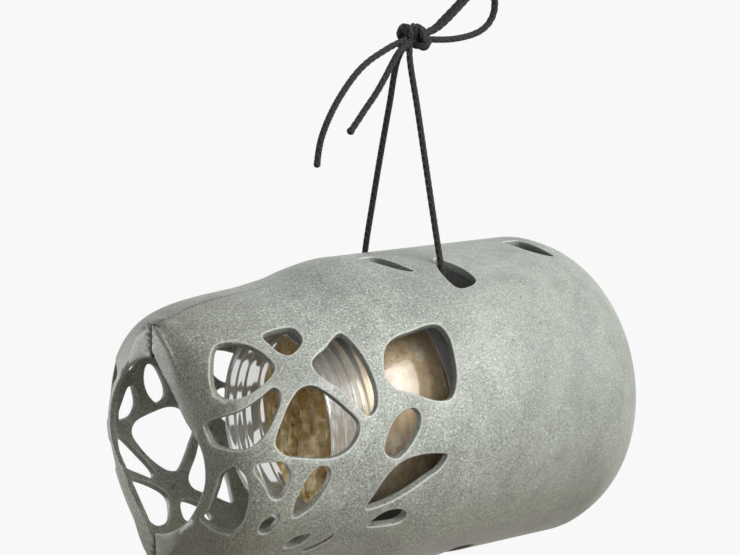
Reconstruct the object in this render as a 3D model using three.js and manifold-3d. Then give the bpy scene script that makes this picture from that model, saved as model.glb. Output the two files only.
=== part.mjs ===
// Hanging bird feeder: two identical pierced half shells, threaded on a cord, hold a jar of peanut butter
// that lies on its side with its open mouth behind the front opening.
// Millimetres, +Z up. The shell's long axis runs along X, the front opening faces -X, and the halves meet on
// the plane y = 0. The origin is at the top of the cord's loop, inside it, where the feeder hangs.

import * as THREE from "three";
import { mergeVertices } from "three/addons/utils/BufferGeometryUtils.js";
import Module from "manifold-3d";

const wasm = await Module();
wasm.setup();

// Shell halves
const shellLength = 180;
const shellDiameter = 110;
const wallThickness = 3;
const seamGap = 0.3;
const rearFlatDiameter = 46;
const shellSegments = 40;

// Lap joint along the seam: a lip on one edge of each half enters a rebate in the other half
const lipReach = 1.5;
const lipThickness = 1.2;
const lapClearance = 0.3;

// Ribs that cradle the jar
const ribThickness = 2.2;
const ribRootSink = 0.8;
const ribClearance = 0.3;
const frontRibMargin = 5;
const rearRibMargin = 1.7;
const ribCount = 3;

// Ejector pad on the lattice's inner face
const padDiameter = 4.6;
const padHeight = 0.6;
const padPlace = 30;
const padTurnDegrees = 52;

// Jar, lying along X with its mouth to the front
const jarRearRoom = 13.5;
const jarLength = 115;
const jarDiameter = 80;
const panelDepth = 1.7;
const glassThickness = 2.6;
const finishDiameter = 69;
const finishLength = 14;
const beadDiameter = 72.6;
const beadWidth = 2.4;
const threadRelief = 1.3;
const shoulderLength = 20;
const bumperWidth = 8;
const rearBumperWidth = 14;
const heelRadius = 6;
const pushUp = 2.4;
const pushUpMargin = 9;
const jarSegments = 32;

// Paper label round the jar's panel
const labelThickness = 0.3;
const labelClearance = 0.3;
const labelMargin = 1;

// Peanut butter
const fillDepth = 16;
const fillClearance = 0.3;
const fillScoop = 3;
const fillSegments = 24;

// Hanging cord
const cordDiameter = 2;
const cordSides = 8;
const cordStep = 5;
const knotLength = 12.4;
const knotWidth = 8.4;
const knotHeight = 8.8;
const knotWrapThickness = 2.6;
const knotLean = -0.35;
const knotSegments = 12;
const cordClearance = 0.3;

const cutOverrun = 4;
const halfTurn = Math.PI;

// Shares of the shell's length and of its radius: the side outline from the front face to the rear flat
const sideOutlineShares = [
  [0.0014, 0.42], [0.006, 0.545], [0.014, 0.62], [0.025, 0.713], [0.039, 0.785], [0.058, 0.845], [0.098, 0.903],
  [0.154, 0.943], [0.222, 0.976], [0.3, 0.995], [0.365, 1], [0.42, 1], [0.86, 1],
  [0.903, 0.964], [0.948, 0.875], [0.977, 0.744], [0.993, 0.58],
];

// How far the top and bottom are drawn in along the length, as shares of the radius there
const pinchShares = [
  [0, 0], [0.014, 0], [0.025, 0.02], [0.053, 0.065], [0.098, 0.086], [0.154, 0.097], [0.222, 0.109], [0.3, 0.087],
  [0.365, 0.03], [0.42, 0], [1, 0],
];

// How far the crest and the keel stand out at the nose, which squares its top, as shares of the radius there
const crestShares = [[0, 0.6], [0.0014, 0.6], [0.006, 0.31], [0.014, 0.18], [0.025, 0.08], [0.039, 0.02], [0.058, 0]];
const crestSharpness = 8;

// How far each half's upper quarter is flattened towards the front, like a roof, as shares of the radius
const roofShares = [[0, 0.03], [0.03, 0.05], [0.1, 0.05], [0.22, 0.03], [0.35, 0], [1, 0]];

// Edge of the front opening in one half, from its top point round to its lowest point:
// shares of the shell's radius, outwards from the middle plane and up from the axis
const frontOpeningShares = [
  [0, 0.58], [0.4, 0.2], [0.446, 0.163], [0.495, 0.122], [0.532, 0.07], [0.551, 0.015], [0.557, -0.06],
  [0.541, -0.14], [0.49, -0.23], [0.42, -0.322], [0.343, -0.396], [0.25, -0.455], [0.13, -0.51], [0, -0.54],
];

// Windows of one half. Each point is a share of the shell's length from the front and a share of the half turn
// from the top seam round to the bottom seam.
const windowShares = {
  upperFront: [
    [0.062, 0.176], [0.104, 0.196], [0.132, 0.25], [0.134, 0.284], [0.09, 0.322], [0.05, 0.331], [0.031, 0.305],
    [0.033, 0.24],
  ],
  brow: [[0.148, 0.19], [0.205, 0.188], [0.213, 0.212], [0.207, 0.236], [0.172, 0.26], [0.158, 0.248], [0.149, 0.22]],
  upperMiddle: [
    [0.282, 0.238], [0.243, 0.263], [0.206, 0.289], [0.204, 0.313], [0.24, 0.366], [0.276, 0.42], [0.293, 0.412],
    [0.304, 0.38], [0.302, 0.31], [0.295, 0.27],
  ],
  middleFront: [
    [0.119, 0.328], [0.126, 0.344], [0.102, 0.392], [0.062, 0.442], [0.036, 0.452], [0.018, 0.441], [0.012, 0.4],
    [0.014, 0.366], [0.046, 0.363], [0.086, 0.345],
  ],
  kite: [
    [0.186, 0.341], [0.165, 0.342], [0.143, 0.36], [0.112, 0.405], [0.094, 0.448], [0.106, 0.469], [0.14, 0.481],
    [0.2, 0.488], [0.238, 0.47], [0.256, 0.434], [0.236, 0.398], [0.206, 0.358],
  ],
  lowerFront: [
    [0.031, 0.492], [0.041, 0.506], [0.048, 0.54], [0.049, 0.6], [0.043, 0.66], [0.026, 0.69], [0.012, 0.7],
    [0.014, 0.64], [0.016, 0.57], [0.021, 0.51],
  ],
  lowerMiddle: [
    [0.058, 0.488], [0.078, 0.483], [0.103, 0.487], [0.115, 0.508], [0.112, 0.535], [0.099, 0.562], [0.087, 0.562],
    [0.071, 0.53], [0.057, 0.502],
  ],
  lowerLeaf: [
    [0.17, 0.502], [0.188, 0.508], [0.191, 0.526], [0.176, 0.563], [0.152, 0.597], [0.131, 0.61], [0.128, 0.585],
    [0.135, 0.55], [0.15, 0.52],
  ],
  lowSpot: [[0.1, 0.597], [0.105, 0.608], [0.096, 0.643], [0.083, 0.653], [0.076, 0.645], [0.079, 0.618]],
  keelLeaf: [[0.136, 0.694], [0.148, 0.668], [0.175, 0.658], [0.176, 0.668], [0.164, 0.69], [0.146, 0.7]],
  keelSlit: [[0.18, 0.714], [0.204, 0.692], [0.228, 0.667], [0.224, 0.683], [0.205, 0.706], [0.186, 0.721]],
  upperRear: [
    [0.378, 0.278], [0.414, 0.271], [0.458, 0.263], [0.483, 0.266], [0.493, 0.29], [0.49, 0.33], [0.479, 0.385],
    [0.461, 0.413], [0.43, 0.414], [0.385, 0.395], [0.342, 0.374], [0.331, 0.345], [0.35, 0.296],
  ],
  middleRear: [
    [0.374, 0.42], [0.385, 0.432], [0.384, 0.452], [0.36, 0.488], [0.33, 0.51], [0.308, 0.5], [0.302, 0.488],
    [0.318, 0.45], [0.342, 0.427],
  ],
  rearLeaf: [
    [0.276, 0.607], [0.29, 0.572], [0.316, 0.535], [0.346, 0.517], [0.385, 0.512], [0.425, 0.516], [0.444, 0.522],
    [0.43, 0.545], [0.4, 0.562], [0.352, 0.588], [0.31, 0.604],
  ],
  rearSpot: [
    [0.293, 0.655], [0.302, 0.638], [0.32, 0.624], [0.346, 0.621], [0.367, 0.63], [0.372, 0.644], [0.362, 0.656],
    [0.322, 0.66],
  ],
  crestSlit: [[0.452, 0.02], [0.484, 0.02], [0.497, 0.05], [0.507, 0.085], [0.515, 0.113], [0.49, 0.1], [0.464, 0.06]],
  cordHole: [
    [0.598, 0.072], [0.616, 0.1], [0.628, 0.132], [0.63, 0.166], [0.611, 0.18], [0.576, 0.182], [0.568, 0.145],
    [0.577, 0.105],
  ],
  rearSlit: [[0.808, 0.022], [0.84, 0.024], [0.852, 0.06], [0.857, 0.09], [0.86, 0.122], [0.83, 0.1], [0.81, 0.06]],
};
// The cord hole that serves the other half's top once the half is turned over
windowShares.cordHoleTurned = windowShares.cordHole.map(([along, turn]) => [along, 1 - turn]);
const windowPointSpacing = 6;
const cutterInnerShare = 0.6;
const cutterOuterShare = 1.12;

// Routes of the cord's runs: x from the front face, y outwards to the right half, z up from the shell's axis
const leftStrandRoute = [
  [106.2, 0, 130], [106.1, -1.4, 124], [105.9, -5.4, 106], [105.7, -9.5, 88], [105.5, -13.5, 70],
  [105.4, -17.1, 55], [105.4, -18.6, 49.9], [105.4, -18.8, 48.9],
];
const innerRunRoute = [
  [105.4, -18.9, 48.5], [105.4, -18.6, 47], [105.3, -17.8, 45.8], [105.3, -16.6, 44.9], [105.2, -15, 44.4],
  [105.1, -11, 44.2], [104.9, -3, 43.6], [104.8, 6, 42.7], [104.8, 14, 41.7], [104.8, 19.5, 41.1],
  [104.9, 22.4, 41.1], [104.9, 24.3, 41.7], [104.9, 25.8, 42.8], [104.9, 26.6, 43.8], [104.9, 26.85, 44.4],
];
const rightStrandRoute = [
  [104.9, 27, 45], [104.9, 26.8, 47.4], [104.7, 25.2, 54], [104, 19.6, 70.5], [103.4, 13.4, 88.5],
  [102.9, 7.3, 106], [102.9, 2.2, 122], [105, 0.6, 129],
];
const longTailRoute = [
  [105, -0.6, 129.6], [98, -1, 127.6], [92, -2, 125.4], [86, -3, 122.8], [81, -4, 119.9], [76.5, -5, 116.4],
  [72.4, -6, 112.6], [68.9, -7, 109], [65.9, -7.6, 105], [63.5, -8, 101], [61.9, -8, 97], [60.9, -8, 92.6],
  [60.3, -8, 88.2],
];
const shortTailRoute = [
  [105, -1.6, 129], [98.2, -3.2, 125.2], [94.6, -4, 121.3], [90.7, -5, 116.6], [86.4, -5.8, 111.6],
  [81.6, -6.4, 106.2], [78.2, -6.8, 102.2], [75, -7, 98.6],
];
const loopRoute = [
  [107, 0, 130], [114, 0, 133], [118, 0, 135.8], [122, 0, 138.9], [126, 0, 142], [129.8, 0, 144.6],
  [133.4, 0, 146.6], [137, 0, 147.5], [140.2, 0, 146.6], [142.3, 0, 144], [143.1, 0, 140.8], [142.6, 0, 137.4],
  [140.6, 0, 134.4], [137.4, 0, 132.2], [133.4, 0, 130.8], [128.8, 0, 129.9], [123.6, 0, 129.3],
  [118, 0, 129.2], [112, 0, 129.4], [107, 0, 129.8],
];
const loopCordSpacing = 2.3;

// Values that follow from the sizes above
const shellRadius = shellDiameter / 2;
const panelRadius = jarDiameter / 2 - panelDepth;
const labelInnerRadius = panelRadius + labelClearance;
const labelOuterRadius = labelInnerRadius + labelThickness;
const ribInnerRadius = labelOuterRadius + ribClearance;
const panelStart = finishLength + beadWidth + threadRelief + shoulderLength + bumperWidth;
const panelEnd = jarLength - heelRadius - rearBumperWidth;
const jarMouthPlace = shellLength - wallThickness - jarRearRoom - jarLength;
const firstRibPlace = jarMouthPlace + panelStart + frontRibMargin;
const lastRibPlace = jarMouthPlace + panelEnd - rearRibMargin - ribThickness;
const loopPoints = loopRoute.map((point) => new THREE.Vector3(...point));
const knotCentre = loopPoints[0].clone().add(loopPoints[loopPoints.length - 1]).multiplyScalar(0.5);
const loopTop = loopPoints.reduce((highest, point) => (point.z > highest.z ? point : highest));

// Value at a place in a table of [place, value] rows
function tableValue(table, place) {
  const next = table.findIndex(([start]) => start >= place);
  if (next <= 0) return table[next === 0 ? 0 : table.length - 1][1];
  const [startPlace, startValue] = table[next - 1];
  const [endPlace, endValue] = table[next];
  return THREE.MathUtils.mapLinear(place, startPlace, endPlace, startValue, endValue);
}

// A solid from a closed geometry, whose doubled vertices are merged and whose empty triangles are dropped
function solidFrom(geometry) {
  const bare = geometry.clone();
  bare.deleteAttribute("normal");
  bare.deleteAttribute("uv");
  const merged = mergeVertices(bare);
  const corners = merged.index.array;
  const kept = [];
  for (let i = 0; i < corners.length; i += 3) {
    const [a, b, c] = corners.slice(i, i + 3);
    if (a !== b && b !== c && c !== a) kept.push(a, b, c);
  }
  return new wasm.Manifold(new wasm.Mesh({
    numProp: 3,
    vertProperties: new Float32Array(merged.attributes.position.array),
    triVerts: new Uint32Array(kept),
  }));
}

function geometryFrom(solid) {
  const mesh = solid.getMesh();
  const geometry = new THREE.BufferGeometry();
  geometry.setAttribute("position", new THREE.BufferAttribute(new Float32Array(mesh.vertProperties), 3));
  geometry.setIndex(new THREE.BufferAttribute(new Uint32Array(mesh.triVerts), 1));
  return geometry;
}

// A revolved geometry about the X axis from [x, radius] points; turn 0 is the top and turns towards -Y
function revolved(points, segments) {
  const profile = points.map(([along, radius]) => new THREE.Vector2(radius, along));
  return new THREE.LatheGeometry(profile, segments).rotateZ(-halfTurn / 2);
}

function block(from, to) {
  const size = new THREE.Vector3().subVectors(to, from);
  const centre = new THREE.Vector3().addVectors(from, to).multiplyScalar(0.5);
  return solidFrom(new THREE.BoxGeometry(size.x, size.y, size.z).translate(centre.x, centre.y, centre.z));
}

// Side outline of the shell moved inwards by an inset, from the axis at the front to the axis at the rear
function shellOutline(inset) {
  const outer = sideOutlineShares.map(([along, out]) => new THREE.Vector2(along * shellLength, out * shellRadius));
  outer.push(new THREE.Vector2(shellLength, rearFlatDiameter / 2));
  const moved = outer.map((point, i) => {
    const before = i > 0 ? outer[i - 1] : new THREE.Vector2(point.x, 0);
    const after = i < outer.length - 1 ? outer[i + 1] : new THREE.Vector2(point.x, 0);
    const inOne = new THREE.Vector2().subVectors(point, before).normalize();
    const outOne = new THREE.Vector2().subVectors(after, point).normalize();
    const along = inOne.add(outOne).normalize();
    return new THREE.Vector2(point.x + along.y * inset, point.y - along.x * inset);
  });
  const first = moved[0].x;
  const last = moved[moved.length - 1].x;
  return [[first, 0], ...moved.map((point) => [point.x, point.y]), [last, 0]];
}

// The shell's body, filled: revolved, then drawn in at top and bottom, squared at the nose and flattened like a
// roof towards the front. The place along the outline is the outer face's, which keeps the wall even.
function shellBody(inset) {
  const geometry = revolved(shellOutline(inset), shellSegments);
  const position = geometry.attributes.position;
  const shares = [0, ...sideOutlineShares.map(([along]) => along), 1, 1];
  for (let i = 0; i < position.count; i += 1) {
    const [x, y, z] = [position.getX(i), position.getY(i), position.getZ(i)];
    const turn = Math.atan2(-y, z);
    const share = shares[i % shares.length];
    const pinch = tableValue(pinchShares, share) * Math.cos(turn) ** 2;
    const crest = tableValue(crestShares, share) * Math.cos(turn) ** crestSharpness;
    const roof = tableValue(roofShares, share) * Math.max(0, Math.sin(2 * turn));
    const scale = 1 - pinch + crest - roof;
    position.setXYZ(i, x, y * scale, z * scale);
  }
  return solidFrom(geometry);
}

// A cutter through the wall from an outline of [length share, half-turn share] points
function windowCutter(shares) {
  const corners = shares.map(([along, turn]) => {
    return new THREE.Vector3(along * shellLength, turn * halfTurn * shellRadius, 0);
  });
  const curve = new THREE.CatmullRomCurve3(corners, true, "centripetal");
  const count = Math.ceil(curve.getLength() / windowPointSpacing);
  const outline = curve.getSpacedPoints(count).slice(0, count);
  const faces = THREE.ShapeUtils.triangulateShape(outline.map((p) => new THREE.Vector2(p.x, p.y)), []);
  const clockwise = THREE.ShapeUtils.isClockWise(outline.map((p) => new THREE.Vector2(p.x, p.y)));
  const ring = (radius) => outline.flatMap((point) => {
    const turn = point.y / shellRadius;
    return [point.x, -radius * Math.sin(turn), radius * Math.cos(turn)];
  });
  const vertices = [...ring(shellRadius * cutterInnerShare), ...ring(shellRadius * cutterOuterShare)];
  const triangles = [];
  const add = (a, b, c) => triangles.push(...(clockwise ? [a, b, c] : [a, c, b]));
  faces.forEach(([a, b, c]) => {
    triangles.push(a, b, c);
    triangles.push(c + count, b + count, a + count);
  });
  for (let i = 0; i < count; i += 1) {
    const j = (i + 1) % count;
    add(i, j, j + count);
    add(i, j + count, i + count);
  }
  const geometry = new THREE.BufferGeometry();
  geometry.setAttribute("position", new THREE.Float32BufferAttribute(vertices, 3));
  geometry.setIndex(triangles);
  return solidFrom(geometry);
}

// A cutter for this half's side of the front opening
function frontOpeningCutter() {
  const edge = frontOpeningShares.map(([out, up]) => new THREE.Vector2(-out * shellRadius, up * shellRadius));
  const middle = cutOverrun;
  const outline = [
    new THREE.Vector2(middle, edge[0].y), ...edge, new THREE.Vector2(middle, edge[edge.length - 1].y),
  ];
  const depth = wallThickness + 2 * cutOverrun;
  const geometry = new THREE.ExtrudeGeometry(new THREE.Shape(outline), { depth, bevelEnabled: false, steps: 1 });
  geometry.rotateX(halfTurn / 2).rotateZ(halfTurn / 2);
  return solidFrom(geometry.translate(-cutOverrun, 0, 0));
}

// Ribs that hold the jar, whole rings that the seam cut halves
function jarRibs() {
  const outerRadius = shellRadius - wallThickness + ribRootSink;
  const pitch = (lastRibPlace - firstRibPlace) / (ribCount - 1);
  return Array.from({ length: ribCount }, (_, i) => {
    const front = firstRibPlace + i * pitch;
    const rear = front + ribThickness;
    return solidFrom(revolved([
      [front, ribInnerRadius], [front, outerRadius], [rear, outerRadius], [rear, ribInnerRadius],
      [front, ribInnerRadius],
    ], shellSegments));
  });
}

// The ejector pad, a low disc on the inner face
function ejectorPad() {
  const inner = shellRadius - wallThickness;
  const turn = THREE.MathUtils.degToRad(padTurnDegrees);
  const length = padHeight + wallThickness / 2;
  const disc = new THREE.CylinderGeometry(padDiameter / 2, padDiameter / 2, length, 16);
  disc.rotateX(halfTurn / 2);
  const share = padPlace / shellLength;
  const scale = 1 - tableValue(pinchShares, share) * Math.cos(turn) ** 2
    - tableValue(roofShares, share) * Math.sin(2 * turn);
  const sideRadius = tableValue(sideOutlineShares, share) * inner * scale;
  disc.translate(padPlace, 0, sideRadius - padHeight + length / 2);
  return solidFrom(disc.rotateX(turn));
}

// One half shell, on the -Y side: the right half is the same moulding turned half a turn about X
function halfShell() {
  const far = shellLength + shellDiameter;
  const seam = seamGap / 2;
  const outer = shellBody(0);
  const inner = shellBody(wallThickness);
  const otherSide = block(new THREE.Vector3(-far, -seam, -far), new THREE.Vector3(far, far, far));

  // Lip on the lower seam edge, inside the wall's thickness
  const lipSkin = shellBody(wallThickness - lipThickness).subtract(inner);
  const lipZone = block(
    new THREE.Vector3(-far, -wallThickness, -far),
    new THREE.Vector3(far, lipReach, -lapClearance),
  );
  // Rebate for the other half's lip in the upper seam edge
  const rebateSkin = shellBody(wallThickness - lipThickness - lapClearance).subtract(shellBody(2 * wallThickness));
  const rebateZone = block(
    new THREE.Vector3(-far, -seam - lipReach - lapClearance, -lapClearance),
    new THREE.Vector3(far, far, far),
  );

  // The ribs come after the windows, so that one that meets a window bridges it
  let half = outer.subtract(inner);
  Object.values(windowShares).forEach((shares) => { half = half.subtract(windowCutter(shares)); });
  jarRibs().forEach((rib) => { half = half.add(rib); });
  half = half.add(ejectorPad()).subtract(otherSide);
  half = half.subtract(rebateSkin.intersect(rebateZone));
  half = half.add(lipSkin.intersect(lipZone));
  return geometryFrom(half.subtract(frontOpeningCutter()));
}

// Outer profile of the jar, from its mouth to its base, as [distance from the mouth, radius]
function jarOutside() {
  const finish = finishDiameter / 2;
  const body = jarDiameter / 2;
  const rim = glassThickness / 2;
  const beadEnd = finishLength + beadWidth;
  const shoulderStart = beadEnd + threadRelief;
  const shoulderEnd = shoulderStart + shoulderLength;
  const points = [[0, finish - rim], [rim / 2, finish - rim / 4], [rim, finish], [finishLength, finish]];
  points.push([finishLength, beadDiameter / 2], [beadEnd, beadDiameter / 2], [beadEnd, finish]);
  for (let i = 0; i <= 4; i += 1) {
    const turn = (i / 4) * halfTurn / 2;
    points.push([shoulderStart + shoulderLength * (i / 4), finish + (body - finish) * Math.sin(turn)]);
  }
  points.push([shoulderEnd + bumperWidth - panelDepth / 2, body], [panelStart, panelRadius]);
  points.push([panelEnd, panelRadius], [panelEnd + panelDepth / 2, body]);
  for (let i = 0; i <= 3; i += 1) {
    const turn = (i / 3) * halfTurn / 2;
    const [along, out] = [heelRadius * Math.sin(turn), heelRadius * (1 - Math.cos(turn))];
    points.push([jarLength - heelRadius + along, body - out]);
  }
  points.push([jarLength, body - pushUpMargin], [jarLength - pushUp, body - pushUpMargin - pushUp]);
  points.push([jarLength - pushUp, 0]);
  return points;
}

// Inner profile of the jar, from its base back to its mouth
function jarInside(inset = 0) {
  const bore = finishDiameter / 2 - glassThickness - inset;
  const room = panelRadius - glassThickness - inset;
  const floor = jarLength - pushUp - glassThickness - inset;
  const shoulderStart = finishLength + beadWidth + threadRelief + glassThickness;
  const shoulderEnd = shoulderStart + shoulderLength;
  const points = [[floor, 0], [floor, room - heelRadius]];
  for (let i = 1; i <= 2; i += 1) {
    const turn = (i / 2) * halfTurn / 2;
    points.push([floor - heelRadius * (1 - Math.cos(turn)), room - heelRadius * (1 - Math.sin(turn))]);
  }
  for (let i = 4; i >= 0; i -= 1) {
    const turn = (i / 4) * halfTurn / 2;
    points.push([shoulderStart + (shoulderEnd - shoulderStart) * (i / 4), bore + (room - bore) * Math.sin(turn)]);
  }
  return { points, bore };
}

function jarGeometry() {
  const inside = jarInside();
  const profile = [...jarOutside(), ...inside.points, [0, inside.bore], [0, finishDiameter / 2 - glassThickness / 2]];
  return revolved(profile.map(([along, radius]) => [along + jarMouthPlace, radius]), jarSegments);
}

function labelGeometry() {
  const [front, rear] = [jarMouthPlace + panelStart + labelMargin, jarMouthPlace + panelEnd - labelMargin];
  return revolved([
    [front, labelInnerRadius], [front, labelOuterRadius], [rear, labelOuterRadius], [rear, labelInnerRadius],
    [front, labelInnerRadius],
  ], jarSegments);
}

// The filling, with a shallow scoop in its open face
function fillGeometry() {
  const { points, bore } = jarInside(fillClearance);
  const face = [];
  for (let i = 0; i <= 4; i += 1) {
    const share = i / 4;
    face.push([fillDepth + fillScoop * (1 - share * share), bore * share]);
  }
  const inside = points.filter(([along]) => along > fillDepth).reverse();
  return revolved([...face, ...inside].map(([along, radius]) => [along + jarMouthPlace, radius]), fillSegments);
}

// A tube along a route
function cordGeometry(route, diameter = cordDiameter) {
  const curve = new THREE.CatmullRomCurve3(route.map((point) => new THREE.Vector3(...point)), false, "centripetal");
  const section = new THREE.Shape(Array.from({ length: cordSides }, (_, i) => {
    const turn = (i / cordSides) * 2 * halfTurn;
    return new THREE.Vector2(Math.cos(turn), Math.sin(turn)).multiplyScalar(diameter / 2);
  }));
  const steps = Math.ceil(curve.getLength() / cordStep);
  return new THREE.ExtrudeGeometry(section, { steps, extrudePath: curve, bevelEnabled: false });
}

// The knot: a rounded core with two turns of the doubled cord laid round it, grown by a clearance to cut its cords
function knotSolid(grow = 0) {
  const core = new THREE.SphereGeometry(0.5, knotSegments, knotSegments / 2);
  core.scale(knotLength + 2 * grow, knotWidth + 2 * grow, knotHeight + 2 * grow);
  let knot = solidFrom(core);
  const wrapRadius = (knotWidth - knotWrapThickness / 2) / 2;
  const thickness = knotWrapThickness / 2 + grow;
  [[-knotLength / 5, knotLean], [knotLength / 6, -knotLean]].forEach(([place, lean]) => {
    const wrap = new THREE.TorusGeometry(wrapRadius, thickness, 8, knotSegments);
    wrap.rotateY(halfTurn / 2).rotateY(lean).translate(place, 0, 0);
    knot = knot.add(solidFrom(wrap));
  });
  return knot.translate([knotCentre.x, knotCentre.y, knotCentre.z]);
}

// A cord run that ends on the knot's surface, with its clearance
function knottedCord(route) {
  return geometryFrom(solidFrom(cordGeometry(route)).subtract(knotSolid(cordClearance)));
}

function material(color, roughness, metalness = 0, opacity = 1) {
  return new THREE.MeshStandardMaterial({ color, roughness, metalness, opacity, transparent: opacity < 1 });
}

const shellMaterial = material(0xa9b1a8, 0.55, 0.15);
const glassMaterial = material(0xe6efee, 0.08, 0, 0.35);
const paperMaterial = material(0xe2e1e4, 0.8);
const fillMaterial = material(0x9a7442, 0.6);
const cordMaterial = material(0x2c2a29, 0.85);

const feeder = new THREE.Group();
feeder.position.set(-loopTop.x, 0, cordDiameter / 2 - loopTop.z);

function addPiece(name, geometry, finish) {
  const piece = new THREE.Mesh(geometry, finish);
  piece.name = name;
  feeder.add(piece);
  return piece;
}

const halfGeometry = halfShell();
addPiece("left_shell", halfGeometry, shellMaterial);
addPiece("right_shell", halfGeometry, shellMaterial).rotation.x = halfTurn;
addPiece("glass_jar", jarGeometry(), glassMaterial);
addPiece("jar_label", labelGeometry(), paperMaterial);
addPiece("peanut_butter", fillGeometry(), fillMaterial);
addPiece("hang_knot", geometryFrom(knotSolid()), cordMaterial);
addPiece("cord_left_strand", knottedCord(leftStrandRoute), cordMaterial);
addPiece("cord_inner_run", cordGeometry(innerRunRoute), cordMaterial);
addPiece("cord_right_strand", knottedCord(rightStrandRoute), cordMaterial);
addPiece("long_tail", knottedCord(longTailRoute), cordMaterial);
addPiece("short_tail", knottedCord(shortTailRoute), cordMaterial);
[["loop_cord_front", -1], ["loop_cord_back", 1]].forEach(([name, side]) => {
  const route = loopRoute.map(([x, , z]) => [x, side * loopCordSpacing / 2, z]);
  addPiece(name, knottedCord(route), cordMaterial);
});

const root = new THREE.Group();
root.add(feeder);

export default root;
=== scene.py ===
# %% [markdown]
# # A hanging bird feeder, dressed for its photograph
#
# The feeder is two identical pierced half shells of speckled recycled plastic. They are threaded on one
# knotted cord, and a glass jar of peanut butter lies inside them with its open mouth to the front. The
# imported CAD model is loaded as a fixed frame, and each step below replaces one of its plain solids with a
# detailed mesh. The box of the CAD model is measured first, because the dressed model has to stay inside
# it.

# %% Load the frame
import math

import bmesh
import bpy
import numpy as np
from mathutils import Matrix, Vector
from mathutils.geometry import delaunay_2d_cdt


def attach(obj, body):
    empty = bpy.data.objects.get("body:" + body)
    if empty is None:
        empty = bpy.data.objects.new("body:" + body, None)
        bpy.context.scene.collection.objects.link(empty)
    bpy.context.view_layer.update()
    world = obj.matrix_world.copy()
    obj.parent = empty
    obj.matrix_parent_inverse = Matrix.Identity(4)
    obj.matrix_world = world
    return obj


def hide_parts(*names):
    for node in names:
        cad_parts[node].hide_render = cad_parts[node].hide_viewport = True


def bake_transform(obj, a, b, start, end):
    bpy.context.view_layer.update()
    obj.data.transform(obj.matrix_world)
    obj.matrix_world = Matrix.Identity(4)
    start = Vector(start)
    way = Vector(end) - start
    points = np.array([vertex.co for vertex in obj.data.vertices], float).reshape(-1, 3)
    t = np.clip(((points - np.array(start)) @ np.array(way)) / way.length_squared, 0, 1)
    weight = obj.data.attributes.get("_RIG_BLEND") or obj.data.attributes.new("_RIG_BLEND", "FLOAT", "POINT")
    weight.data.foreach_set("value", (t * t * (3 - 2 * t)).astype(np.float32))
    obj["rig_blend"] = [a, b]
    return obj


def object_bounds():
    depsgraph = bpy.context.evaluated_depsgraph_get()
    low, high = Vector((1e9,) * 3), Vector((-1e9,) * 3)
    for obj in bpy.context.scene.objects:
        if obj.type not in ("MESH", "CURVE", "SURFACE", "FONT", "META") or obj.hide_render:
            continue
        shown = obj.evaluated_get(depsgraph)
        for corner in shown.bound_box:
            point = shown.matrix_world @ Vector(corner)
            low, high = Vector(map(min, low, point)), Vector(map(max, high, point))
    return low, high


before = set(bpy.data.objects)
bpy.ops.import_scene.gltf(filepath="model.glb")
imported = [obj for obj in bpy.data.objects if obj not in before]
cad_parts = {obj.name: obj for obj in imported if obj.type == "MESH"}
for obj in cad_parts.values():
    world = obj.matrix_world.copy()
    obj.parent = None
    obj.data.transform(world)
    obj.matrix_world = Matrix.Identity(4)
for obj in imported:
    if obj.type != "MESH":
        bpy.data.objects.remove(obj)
cad_box = [list(corner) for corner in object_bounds()]
scene = bpy.context.scene
print("CAD box", cad_box)

# %% [markdown]
# ## The camera
#
# A camera can be aimed by eye or worked out from the picture. This one was worked out: the rear of the
# shell is round, so its outline gives the distance and the angles. It stands left of the feeder and a
# little above it, with a long lens, and looks along one fixed direction, given here as an azimuth and an
# elevation.

# %% Camera
camera_place = Vector((-0.45441, -0.55835, 0.02046))
camera_azimuth, camera_elevation = math.radians(-35.99), math.radians(9.86)

towards_camera = Vector((
    math.sin(camera_azimuth) * math.cos(camera_elevation),
    -math.cos(camera_azimuth) * math.cos(camera_elevation),
    math.sin(camera_elevation),
))
camera_data = bpy.data.cameras.new("camera")
camera_data.lens, camera_data.sensor_width, camera_data.sensor_fit = 97.66, 36, "HORIZONTAL"
camera_data.clip_start, camera_data.clip_end = 0.01, 60
camera = bpy.data.objects.new("camera", camera_data)
scene.collection.objects.link(camera)
camera.location = camera_place
camera.rotation_mode = "QUATERNION"
camera.rotation_quaternion = (-towards_camera).to_track_quat("-Z", "Y")
scene.camera = camera
print("camera looks along", [round(part, 3) for part in -towards_camera])

# %% [markdown]
# ## Working in millimetres
#
# Every piece is drawn in millimetres in the shell's own frame. x runs from the front face to the rear, the
# halves meet in the plane where y is 0, and the long axis lies where y and z are 0. The objects could be
# moved and scaled instead, but the export puts every object back at the origin. So a finished bmesh is
# moved and scaled to the part's frame once, at its end.

# %% From a bmesh to a piece
shell_place = Vector((137.0, 0.0, 146.5))
merge_distance = 0.002


def to_part(points):
    """Points of the shell's frame, in millimetres, as points of the part's frame, in metres."""
    return (np.asarray(points, float) - np.array(shell_place)) / 1000


def places(work):
    return np.array([vertex.co for vertex in work.verts])


def move_to(work, points):
    for vertex, point in zip(work.verts, points):
        vertex.co = point


def close_up(work):
    """Merges doubled vertices, then turns every face outwards."""
    bmesh.ops.remove_doubles(work, verts=work.verts, dist=merge_distance)
    bmesh.ops.recalc_face_normals(work, faces=work.faces)


def close_ends(work):
    """Puts a face on every open end of a tube or a bar."""
    rims = [edge for edge in work.edges if edge.is_boundary]
    bmesh.ops.holes_fill(work, edges=rims, sides=0)
    close_up(work)


def add_to(work, other):
    """Adds one bmesh to another, and frees it."""
    mesh = bpy.data.meshes.new("joined")
    other.to_mesh(mesh)
    other.free()
    work.from_mesh(mesh)
    bpy.data.meshes.remove(mesh)


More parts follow.
